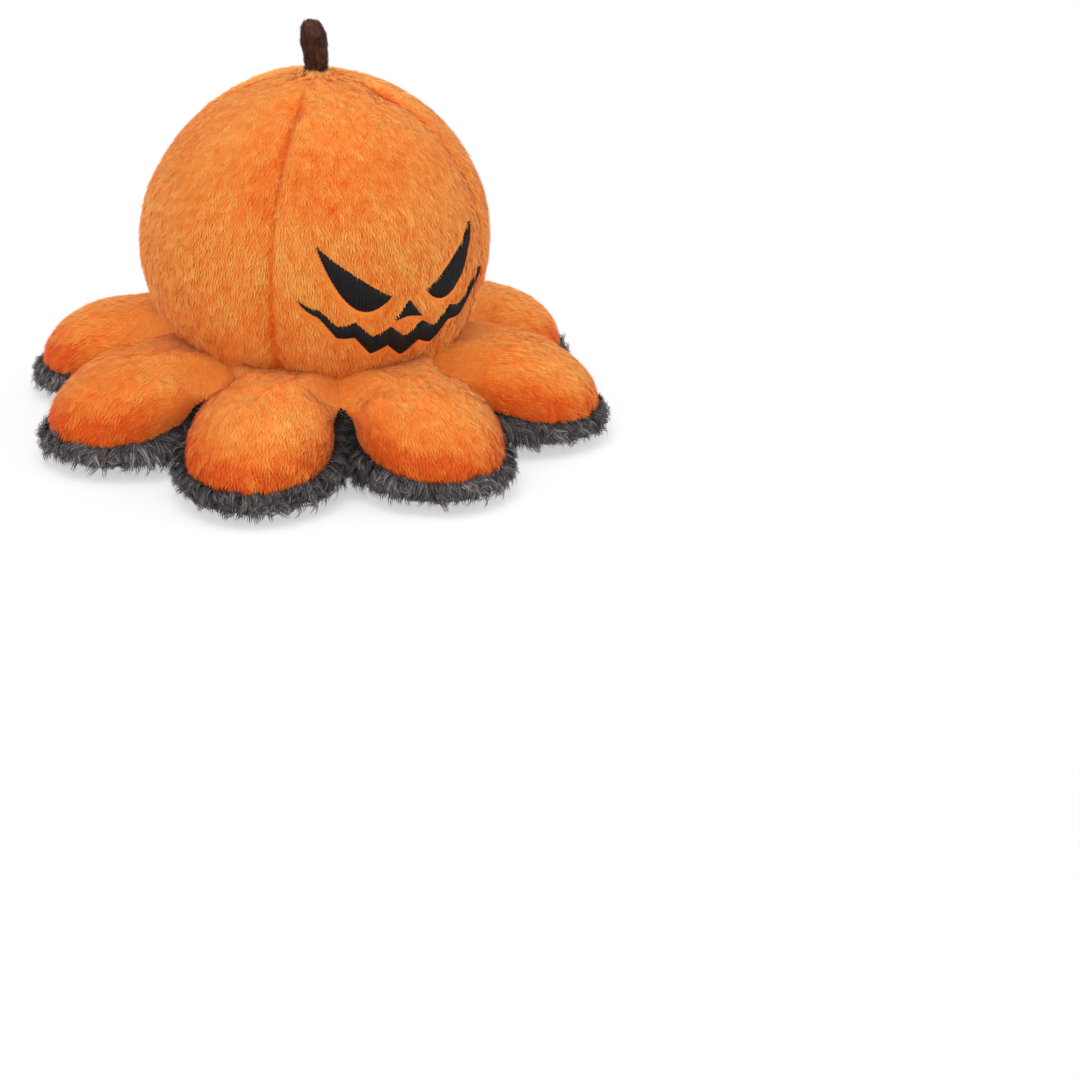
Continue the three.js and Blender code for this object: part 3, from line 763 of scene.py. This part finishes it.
def satinTree():
    tree, given = newTree("satinStitches", [
        ("Geometry", "Geometry"), ("Thread", "Float"), ("Cloth", "Material")])
    node = partial(addNode, tree)
    paths = node("GeometryNodeMeshToCurve", {"Mesh": given["Geometry"]})
    section = node("GeometryNodeCurvePrimitiveCircle", {"Resolution": 5, "Radius": given["Thread"]})
    threads = node("GeometryNodeCurveToMesh", {
        "Curve": paths.outputs[0], "Profile Curve": section.outputs[0], "Fill Caps": True})
    soft = node("GeometryNodeSetShadeSmooth", {"Geometry": threads.outputs[0]})
    whole = node("GeometryNodeRealizeInstances", {"Geometry": soft.outputs[0]})
    coloured = node("GeometryNodeSetMaterial", {"Geometry": whole.outputs[0], "Material": given["Cloth"]})
    node("NodeGroupOutput", {0: coloured.outputs[0]})
    return tree


satinStitches = satinTree()
stitching = dict(pitch=0.00042, thread=0.00027, padLift=0.0009, padDepth=0.0006, threadLift=0.00021, steps=7,
                 sink=0.0004, shortest=0.0004, ripple=0.00006, rippleTurn=2.4)
bothSides = (("left", -1), ("right", 1))


# surface(angle, height) gives a point and its normal; lower and upper give heights for an angle
def stitchPatch(name, surface, angles, lower, upper, material):
    steps, rows = stitching["steps"], len(angles)
    guides, edges, top, bottom = [], [], [], []
    for k, angle in enumerate(angles):
        low, high = lower(angle), max(upper(angle), lower(angle) + stitching["shortest"])
        ripple = stitching["ripple"] * math.sin(stitching["rippleTurn"] * k)
        for j in range(steps):
            share = j / (steps - 1)
            point, normal = surface(angle, low + (high - low) * share)
            arch = 1 - (2 * share - 1) ** 4
            lift = stitching["padLift"] * arch - stitching["sink"] * (1 - arch)
            top.append(point + normal * lift)
            bottom.append(point - normal * stitching["padDepth"])
            guides.append(point + normal * (lift + stitching["threadLift"] * arch + ripple))
            if j:
                edges.append((len(guides) - 2, len(guides) - 1))
    count, last = rows * steps, (rows - 1) * steps
    sheet = gridFaces(rows, steps)
    faces = sheet + [tuple(count + i for i in reversed(f)) for f in sheet]
    rim = [*range(0, count, steps), *range(last + 1, count)]
    rim += [*range(last - 1, 0, -steps), *range(steps - 2, 0, -1)]
    faces += [(a, b, count + b, count + a) for a, b in zip(rim, rim[1:] + rim[:1])]
    base = meshObject(name + "_pad", top + bottom, faces)
    base.data.materials.append(material)
    editMesh(base, lambda mesh: bmesh.ops.recalc_face_normals(mesh, faces=mesh.faces))
    threads = meshObject(name, guides, [], edges)
    dress(threads, satinStitches, {"Thread": stitching["thread"], "Cloth": material})
    return threads, base


def skinTree(skins):
    points, faces = [], []
    for skin in skins:
        first = len(points)
        points += pointsOf(skin).tolist()
        faces += [[first + i for i in f.vertices] for f in skin.data.polygons]
    return BVHTree.FromPolygons(points, faces)


domeTree = skinTree(domeSkins)


def onDome(angle, height):
    toward = Vector(around(np.array(faceAngle + angle)))
    outside = toward * 0.2 + Vector((0, 0, height))
    point, normal, _, _ = domeTree.ray_cast(outside, -toward)
    return point, (normal if normal.dot(toward) > 0 else -normal)


def inLining(angle, height):
    toward = Vector(around(np.array(faceAngle + lining["twist"] + angle)))
    return toward * float(liningRadius(np.array(height))) + Vector((0, 0, height)), -toward


def stepsFor(low, high, radius):
    return np.linspace(low, high, max(4, int(abs(high - low) * math.pi / 180 * radius / stitching["pitch"])))


# lower and upper edges at the same distance from a middle line
def edgesBeside(middle, half):
    return lambda a: middle(a) - half(a), lambda a: middle(a) + half(a)


face = dict(
    eyeInner=7, eyeOuter=30, eyeInnerHeight=-0.003, eyeOuterHeight=0.014, eyeBelly=0.012, eyeCurve=0.8,
    noseHalf=4.5, noseTop=-0.005, noseBottom=-0.0115,
    grinHalf=36, grinHeight=-0.0205, grinRise=0.017, grinThick=0.004, toothHeight=0.0022, teeth=6)


def pumpkinFace():
    middle, made = dome["equator"], {}
    eyeRise = face["eyeOuterHeight"] - face["eyeInnerHeight"]
    noseFall = face["noseBottom"] - face["noseTop"]
    share = lambda a: (abs(a) - face["eyeInner"]) / (face["eyeOuter"] - face["eyeInner"])
    belly = lambda a: max(math.sin(math.pi * min(max(share(a), 0), 1)), 0) ** face["eyeCurve"]
    eyeTop = lambda a: middle + face["eyeInnerHeight"] + eyeRise * share(a)
    eyeLow = lambda a: eyeTop(a) - face["eyeBelly"] * belly(a)
    noseLow = lambda a: middle + face["noseBottom"]
    noseEdge = lambda a: middle + face["noseTop"] + noseFall * abs(a) / face["noseHalf"]
    across = lambda a: abs(a) / face["grinHalf"]
    thick = lambda a: face["grinThick"] * (1 - across(a) ** 2)

    def grinMiddle(a):
        beat = (a / face["grinHalf"] + 1) / 2 * face["teeth"]
        zig = 1 - 4 * abs(beat - math.floor(beat) - 0.5)
        return middle + face["grinHeight"] + face["grinRise"] * across(a) ** 2 \
            + face["toothHeight"] * zig * (1 - across(a) ** 4)

    def sew(part, low, high, lower, upper):
        angles = stepsFor(low, high, dome["radius"])
        made["face_" + part] = stitchPatch("stitched_" + part, onDome, angles, lower, upper, blackThread)

    for side, sign in bothSides:
        sew("eye_" + side, sign * face["eyeInner"], sign * face["eyeOuter"], eyeLow, eyeTop)
    sew("nose", -face["noseHalf"], face["noseHalf"], noseLow, noseEdge)
    sew("grin", -face["grinHalf"], face["grinHalf"], *edgesBeside(grinMiddle, thick))
    return made


# each eye: angle from the middle, height, half width, half height
spider = dict(
    eyes={"low": (21, 0.044, 0.0032, 0.0052), "middle": (8.5, 0.055, 0.0034, 0.0056),
          "outer": (33, 0.057, 0.0022, 0.0042), "high": (20, 0.069, 0.0032, 0.0052)},
    mouthHeight=0.038, mouthHalf=8, mouthThick=0.0009, mouthRise=0.003,
    glintWide=0.0007, glintTall=0.0011, glintRise=0.0016, glintLift=0.0011, ovalEnd=0.0002)


def ovalPatch(name, angle, height, wide, tall, surface, material):
    reach = math.degrees(wide / lining["radius"])
    half = lambda a: tall * math.sqrt(max(0, 1 - ((a - angle) / reach) ** 2)) + spider["ovalEnd"]
    angles = stepsFor(angle - reach, angle + reach, lining["radius"])
    return stitchPatch(name, surface, angles, *edgesBeside(lambda a: height, half), material)


def spiderFace():
    made, glints = {}, []

    def raised(angle, height):
        point, normal = inLining(angle, height)
        return point + normal * spider["glintLift"], normal

    for label, (angle, height, wide, tall) in spider["eyes"].items():
        for side, sign in bothSides:
            name, turn = "spider_eye_%s_%s" % (label, side), sign * angle
            made[name] = ovalPatch("stitched_" + name, turn, height, wide, tall, inLining, blackThread)
            glints.append(ovalPatch("glint", turn, height + spider["glintRise"], spider["glintWide"],
                                    spider["glintTall"], raised, whiteThread))
    angles = stepsFor(-spider["mouthHalf"], spider["mouthHalf"], lining["radius"])
    bow = lambda a: spider["mouthHeight"] + spider["mouthRise"] * (a / spider["mouthHalf"]) ** 2
    edges = edgesBeside(bow, lambda a: spider["mouthThick"])
    made["spider_mouth"] = stitchPatch("stitched_spider_mouth", inLining, angles, *edges, blackThread)
    return made, glints


# one object of all the pads, which keeps the pile off them
def barePatch(name, pads):
    whole = meshObject(name, [], [])
    editMesh(whole, lambda mesh: [mesh.from_mesh(pad.data) for pad in pads])
    whole.hide_render = True
    return whole


faceStitches = pumpkinFace()
spiderStitches, glintPatches = spiderFace()
domeBare = barePatch("dome_bare", [pad for _, pad in faceStitches.values()])
liningBare = barePatch("lining_bare", [pad for _, pad in spiderStitches.values()])
for node, (threads, pad) in {**faceStitches, **spiderStitches}.items():
    joinInto(threads, pad)
    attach(threads, "body")
    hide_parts(node)
glints = joinInto(*glintPatches[0])
glints.name = "spider_eye_glints"
for threads, pad in glintPatches[1:]:
    joinInto(glints, joinInto(threads, pad))
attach(glints, "body")
print("faces stitched")


# Stem

stem = dict(seat=hinges["stem"][2], radius=0.0034, tip=0.0042, flareEnd=0.6, round=0.0055, blunt=2.2,
            top=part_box("stem_cover")[1].z, sides=24, rows=26, lean=(-0.0014, 0.0008),
            lumps=0.0005, lumpNoise=(0.004, 2), sunk=0.003)


def stemSkin():
    low = dome["crown"] - stem["sunk"]
    share = np.linspace(0, 1, stem["rows"])
    height = low + (stem["top"] - low) * share
    fromBase = np.clip((height - low) / stem["sunk"], 0, 1)
    fromTip = np.clip((stem["top"] - height) / stem["round"], 0, 1)
    radius = stem["radius"] + (stem["tip"] - stem["radius"]) * smoothStep(share, 0, stem["flareEnd"])
    radius = radius * np.sqrt(1 - (1 - fromBase) ** 2) * (1 - (1 - fromTip) ** stem["blunt"]) ** 0.5
    count, rows = stem["sides"], stem["rows"] - 2
    rings = lathe(np.arange(count) / count * 360, radius[1:-1], height[1:-1])
    points = np.concatenate([[[0, 0, low]], rings, [[0, 0, stem["top"]]]])
    lump = stem["lumps"] * wander(points, *stem["lumpNoise"])
    points[:, :2] *= (1 + lump / stem["radius"])[:, None]
    risen = np.clip((points[:, 2] - stem["seat"]) / (stem["top"] - stem["seat"]), 0, 1)
    points[:, :2] += np.array(stem["lean"]) * risen[:, None]
    faces = [(f[0], *f[:0:-1]) for f in discFaces(rows, count)]
    top, last = 1 + (rows - 1) * count, len(points) - 1
    faces += [(top + i, top + (i + 1) % count, last) for i in range(count)]
    return smoothPanel("stem_skin", points, faces)


stemPiece = stemSkin()


# Pile on every skin

def plain(points, value):
    return np.full(len(points), float(value))


# a nap that runs away from the middle and falls by the given amount
def outwardNap(points, fall):
    radius = np.maximum(np.hypot(points[:, 0], points[:, 1]), 1e-4)
    return np.stack([points[:, 0] / radius, points[:, 1] / radius, fall + 0 * radius], -1)


def finishPiece(piece, cloth=None):
    if cloth:
        piece.data.materials.clear()
        piece.data.materials.append(cloth)


# a range says where a field starts and where it is full; weights are a start and the share of each field
domeNap = dict(
    seed=11, footRange=(0.006, 0.009), footPile=0.4, parting=2.0, partingWidth=0.008,
    partingDark=0.3, partingDarkWidth=0.004, seamRange=(0.0001, 0.0014), seamTone=0.06,
    upwardRange=(0.1, 0.95), sideRange=(-0.5, 0.2), crestRange=(0.6, 1),
    # painted shade: the pile's tone is darker on the side facing this way
    paintedShadeFacing=(-0.32, -0.69, 0.65), paintedShadeRange=(0.82, 1),
    toneWeights=(0.56, 0.14, 0.25, -0.26), seamPileWeights=(0.7, 0.3), upwardPileWeights=(1, -0.2),
    ruffleWeights=(1, -0.25, 0.3), liftWeights=(0.8, -0.4, 1.1))


def dressDome():
    look = domeNap
    for i, skin in enumerate(domeSkins):
        points, normals = pointsOf(skin), normalsOf(skin)
        distance, radius = seamDistance(points, domeSeam)
        above = points[:, 2] > dome["equator"]
        # round the stem the pile leans in over its foot
        foot = (1 - smoothStep(radius, *look["footRange"])) * above
        nap = outwardNap(points, -1) * (1 - 2 * foot[:, None])
        # and it parts away from the pucker on each seam
        seam = np.degrees(np.arctan2(points[:, 1], points[:, 0])) - domeSeam
        pucker = around(np.round(seam / goreAngle) * goreAngle + domeSeam) * dome["puckerRadius"]
        offset = (points - pucker)[:, :2]
        apart = np.maximum(np.linalg.norm(offset, axis=1), 1e-4)
        push = look["parting"] * bell(apart, look["partingWidth"]) * above / apart
        nap[:, :2] += push[:, None] * offset
        parted = np.maximum(smoothStep(distance, *look["seamRange"]),
                            1 - smoothStep(radius, dome["seamTop"], dome["puckerRadius"]))
        rise = normals[:, 2]
        upward = smoothStep(rise, *look["upwardRange"])
        # painted light makes the pile lighter on the upper half and on the crown; painted shade darkens the
        # side facing front and left
        paintedShadeSide = smoothStep(normals @ look["paintedShadeFacing"], *look["paintedShadeRange"])
        tone = weighted(look["toneWeights"], smoothStep(rise, *look["sideRange"]),
                        smoothStep(rise, *look["crestRange"]), paintedShadeSide)
        dark = look["partingDark"] * bell(apart, look["partingDarkWidth"]) * above
        length = weighted(look["seamPileWeights"], parted) * weighted(look["upwardPileWeights"], upward)
        fields = dict(nap=nap, pile=length + look["footPile"] * foot,
                      ruffled=weighted(look["ruffleWeights"], upward, paintedShadeSide),
                      lift=weighted(look["liftWeights"], upward, foot),
                      tone=look["seamTone"] + (tone - dark) * parted)
        pile = growPile("dome_pile_" + sides[i], skin, domePile, fields, look["seed"] + i, domeBare)
        finishPiece(skin, orangeCloth)
        finishPiece(pile)
        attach(skin, "body")
        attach(pile, "body")
        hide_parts("dome_gore_" + sides[i])


def bendWithLeg(piece):
    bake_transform(piece)


coverNap = dict(
    seed=31, outerRange=(-0.7, 0.1), fallRange=(-0.2, 0.8), upwardRange=(0.2, 0.9), facingRange=(-0.2, 0.6),
    # painted shade: the pile's tone is darker on the side facing this way
    paintedShadeFacing=(-0.9, -0.26, 0.35), paintedShadeRange=(0.1, 0.8), fall=-0.9, fan=0.55, slant=0.5,
    forthWeights=(0.6, 0.4), pileWeights=(0.5, 0.5), liftWeights=(0.3, 0.7),
    ruffleWeights=(0.05, 0.5, 0.9, 0.5), toneWeights=(0.57, 0.37, -0.45, -0.26))


def coverFields(cover, index):
    look, normals = coverNap, normalsOf(cover)
    local = fromLeg(pointsOf(cover), index)
    across = local[:, 1] / leg["halfWidth"]
    along = (local[:, 0] - leg["centre"]) / leg["halfLength"]
    # the nap lies flat and slantwise at the leg's root and turns down over the tip
    outer = smoothStep(along, *look["outerRange"])
    nap = np.stack([weighted(look["forthWeights"], outer), look["fan"] * across + look["slant"] * (1 - outer),
                    look["fall"] * smoothStep(along, *look["fallRange"])], -1)
    upward = smoothStep(normals[:, 2], *look["upwardRange"])
    facing = smoothStep(along, *look["facingRange"]) * (1 - upward)
    paintedShadeSide = smoothStep(normals @ look["paintedShadeFacing"], *look["paintedShadeRange"]) * outer
    # painted light makes the lobe's top lighter; painted shade darkens its front and the side facing front and
    # left
    return dict(nap=toLeg(nap, index), pile=weighted(look["pileWeights"], outer),
                lift=weighted(look["liftWeights"], facing),
                ruffled=weighted(look["ruffleWeights"], outer, facing, paintedShadeSide),
                tone=weighted(look["toneWeights"], upward, facing, paintedShadeSide))


soleNap = dict(
    seed=51, underRange=(0.55, 0.9), innerRange=(0.056, 0.07), clearRange=(0.002, 0.0115),
    seamRange=(0.0, 0.5), clearWeights=(0.28, 0.72), fallWeights=(0.5, -0.9), toneWeights=(0.48, -0.15),
    underPileWeights=(1, -0.3), innerPileWeights=(1, -0.35), seamPileWeights=(1, -0.45),
    underThickWeights=(1, -0.75), innerThickWeights=(1, -0.2))


def soleFields(sole, index):
    look, normals = soleNap, normalsOf(sole)
    local = fromLeg(pointsOf(sole), index)
    flat = local[:, :2] - [leg["centre"], 0]
    outwards = flat / np.maximum(np.linalg.norm(flat, axis=1), 1e-4)[:, None]
    under = smoothStep(-normals[:, 2], *look["underRange"])
    inner = 1 - smoothStep(local[:, 0], *look["innerRange"])
    # near the floor the fur is short and doesn't fall
    clear = weighted(look["clearWeights"], smoothStep(local[:, 2], *look["clearRange"]))
    seamed = smoothStep(normals[:, 2], *look["seamRange"])
    nap = np.concatenate([outwards, weighted(look["fallWeights"], clear)[:, None]], -1)
    length = weighted(look["underPileWeights"], under) * weighted(look["innerPileWeights"], inner) * clear
    return dict(nap=toLeg(nap, index), pile=length * weighted(look["seamPileWeights"], seamed),
                thick=weighted(look["underThickWeights"], under) * weighted(look["innerThickWeights"], inner),
                ruffled=clear, tone=weighted(look["toneWeights"], inner))


def dressLegs():
    for i, (cover, sole) in enumerate(zip(coverSkins, soleSkins)):
        coverPile = growPile("leg_%s_cover_pile" % places[i], cover, legPile, coverFields(cover, i),
                             coverNap["seed"] + i)
        soleFur = growPile("leg_%s_sole_pile" % places[i], sole, solePile, soleFields(sole, i),
                           soleNap["seed"] + i)
        finishPiece(cover, orangeCloth)
        finishPiece(coverPile)
        finishPiece(sole, greyCloth)
        finishPiece(soleFur)
        for piece in (cover, coverPile, sole, soleFur):
            bendWithLeg(piece)
        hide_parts("leg_%s_cover" % places[i], "leg_%s_stuffing" % places[i])
        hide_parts("leg_%s_sole" % places[i])
    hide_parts("skirt_ring_top")


liningNap = dict(seed=71, seamRange=(0.0003, 0.004), pileWeights=(0.5, 0.5), toneWeights=(0.35, 0.15))


def dressLining():
    look = liningNap
    for i, skin in enumerate(liningSkins):
        points = pointsOf(skin)
        distance, _ = seamDistance(points, liningSeam)
        parted = smoothStep(distance, *look["seamRange"])
        fields = dict(nap=outwardNap(points, -1), pile=weighted(look["pileWeights"], parted),
                      tone=weighted(look["toneWeights"], parted))
        pile = growPile("lining_pile_" + sides[i], skin, liningPile, fields, look["seed"] + i, liningBare)
        finishPiece(skin, greyCloth)
        finishPiece(pile)
        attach(skin, "body")
        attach(pile, "body")
        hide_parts("lining_gore_" + sides[i])
    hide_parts("dome_stuffing", "crown_tack")


ringNap = dict(seed=81, pile=0.32, thick=0.5, tone=0.45)


def dressRing():
    points = pointsOf(ringSkin)
    fields = {label: plain(points, ringNap[label]) for label in ("pile", "thick", "tone")}
    fields["nap"] = outwardNap(points, 0)
    pile = growPile("skirt_ring_pile", ringSkin, solePile, fields, ringNap["seed"])
    finishPiece(ringSkin, greyCloth)
    finishPiece(pile)
    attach(ringSkin, "body")
    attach(pile, "body")
    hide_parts("skirt_ring_sole")


stemNap = dict(seed=91, pile=1, tone=0.7)


def dressStem():
    points = pointsOf(stemPiece)
    fields = {label: plain(points, stemNap[label]) for label in ("pile", "tone")}
    fields["nap"] = np.tile([0.0, 0.0, 1.0], (len(points), 1))
    pile = growPile("stem_pile", stemPiece, stemPile, fields, stemNap["seed"])
    finishPiece(stemPiece, brownCloth)
    finishPiece(pile)
    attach(stemPiece, "stem")
    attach(pile, "stem")
    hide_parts("stem_cover", "stem_stuffing")


dressDome()
dressLegs()
dressLining()
dressRing()
dressStem()
for helper in (shortTuft, longTuft, noPatch, domeBare, liningBare):
    bpy.data.objects.remove(helper)
meshes = [o.data for o in scene.objects if o.type == "MESH" and not o.hide_render]
grown = [len(m.loops) - 2 * len(m.polygons) for m in meshes]
print("pile grown:", sum(grown), "triangles, at most", max(grown), "in a piece")


# Stage: white floor, soft studio light, the photograph's view

# each light: place, size and watts
studio = dict(
    floorSize=6.0, floorWhite=0.9, floorGlow=0.55, glowStart=0.13, glowFull=0.36, world=0.78, aim=(0, 0, 0.06),
    lights={"key": ((-1.3, -0.6, 1.2), 1.1, 6.2), "fill": ((1.2, -0.8, 0.7), 1.0, 5),
            "top": ((-0.25, -0.15, 1.5), 1.2, 8.4)})


def emptyTree(owner):
    owner.use_nodes = True
    owner.node_tree.nodes.clear()
    return owner.node_tree


# 1 for rays that the camera sees, straight or in a shine, and 0 for the rest
def seenRays(tree):
    path = addNode(tree, "ShaderNodeLightPath").outputs
    return sums(tree, "MAXIMUM", path["Is Camera Ray"],
                sums(tree, "MAXIMUM", path["Is Glossy Ray"], path["Is Transmission Ray"]))


def studioFloor():
    half = studio["floorSize"] / 2
    corners = [(-half, -half, 0), (half, -half, 0), (half, half, 0), (-half, half, 0)]
    floor = meshObject("studio_floor", corners, [(0, 1, 2, 3)])
    material = bpy.data.materials.new("studio_white")
    tree = emptyTree(material)
    # away from the toy and its shadow the floor turns pure white
    place = addNode(tree, "ShaderNodeTexCoord")
    far = addNode(tree, "ShaderNodeVectorMath", {0: place.outputs["Object"]}, operation="LENGTH")
    share = addNode(tree, "ShaderNodeMapRange", {
        "Value": far.outputs["Value"], "From Min": studio["glowStart"], "From Max": studio["glowFull"],
        "To Min": studio["floorGlow"], "To Max": 1.0}, interpolation_type="SMOOTHSTEP")
    paint = addNode(tree, "ShaderNodeBsdfDiffuse", {"Color": (*[studio["floorWhite"]] * 3, 1)})
    glow = addNode(tree, "ShaderNodeEmission", {"Color": (1, 1, 1, 1)})
    mix = addNode(tree, "ShaderNodeMixShader", {
        0: sums(tree, "MULTIPLY", seenRays(tree), share.outputs[0]), 1: paint.outputs[0], 2: glow.outputs[0]})
    addNode(tree, "ShaderNodeOutputMaterial", {0: mix.outputs[0]})
    floor.data.materials.append(material)


def studioLight(name, place, size, watts):
    lamp = bpy.data.lights.new(name, "AREA")
    lamp.shape, lamp.size, lamp.energy = "DISK", size, watts
    made = newObject(name, lamp)
    made.location = place
    made.rotation_euler = (Vector(studio["aim"]) - Vector(place)).to_track_quat("-Z", "Y").to_euler()


def studioWorld():
    scene.world = bpy.data.worlds.new("studio")
    tree = emptyTree(scene.world)
    strength = sums(tree, "ADD", sums(tree, "MULTIPLY", seenRays(tree), 1 - studio["world"]), studio["world"])
    light = addNode(tree, "ShaderNodeBackground", {0: (1, 1, 1, 1), 1: strength})
    addNode(tree, "ShaderNodeOutputWorld", {0: light.outputs[0]})


# the photograph shows the pumpkin left of and above the middle, so the camera turns instead of shifting
view = dict(target=(0, 0, 0.066), azimuth=-30, elevation=18, distance=0.8, focalPixels=2289,
            frame=1080, sensor=36, domeAtPixel=(312.5, 228))


def photoCamera():
    turn, rise = math.radians(view["azimuth"]), math.radians(view["elevation"])
    back = Vector((math.sin(turn) * math.cos(rise), -math.cos(turn) * math.cos(rise), math.sin(rise)))
    half = view["frame"] / 2
    pixel = Vector(((view["domeAtPixel"][0] - half) / view["focalPixels"],
                    (half - view["domeAtPixel"][1]) / view["focalPixels"], -1)).normalized()
    offAxis = -pixel.z
    camera = bpy.data.cameras.new("photo_camera")
    camera.sensor_width = view["sensor"]
    camera.lens = view["sensor"] * view["focalPixels"] * offAxis ** 1.5 / view["frame"]
    made = newObject("photo_camera", camera)
    look = (-back).to_track_quat("-Z", "Y")
    made.rotation_mode = "QUATERNION"
    made.rotation_quaternion = look @ pixel.rotation_difference(Vector((0, 0, -1)))
    made.location = Vector(view["target"]) + back * view["distance"]
    scene.camera = made


studioFloor()
studioWorld()
for name, (place, size, watts) in studio["lights"].items():
    studioLight(name, place, size, watts)
photoCamera()
scene.view_settings.view_transform = "Standard"
print("studio set")
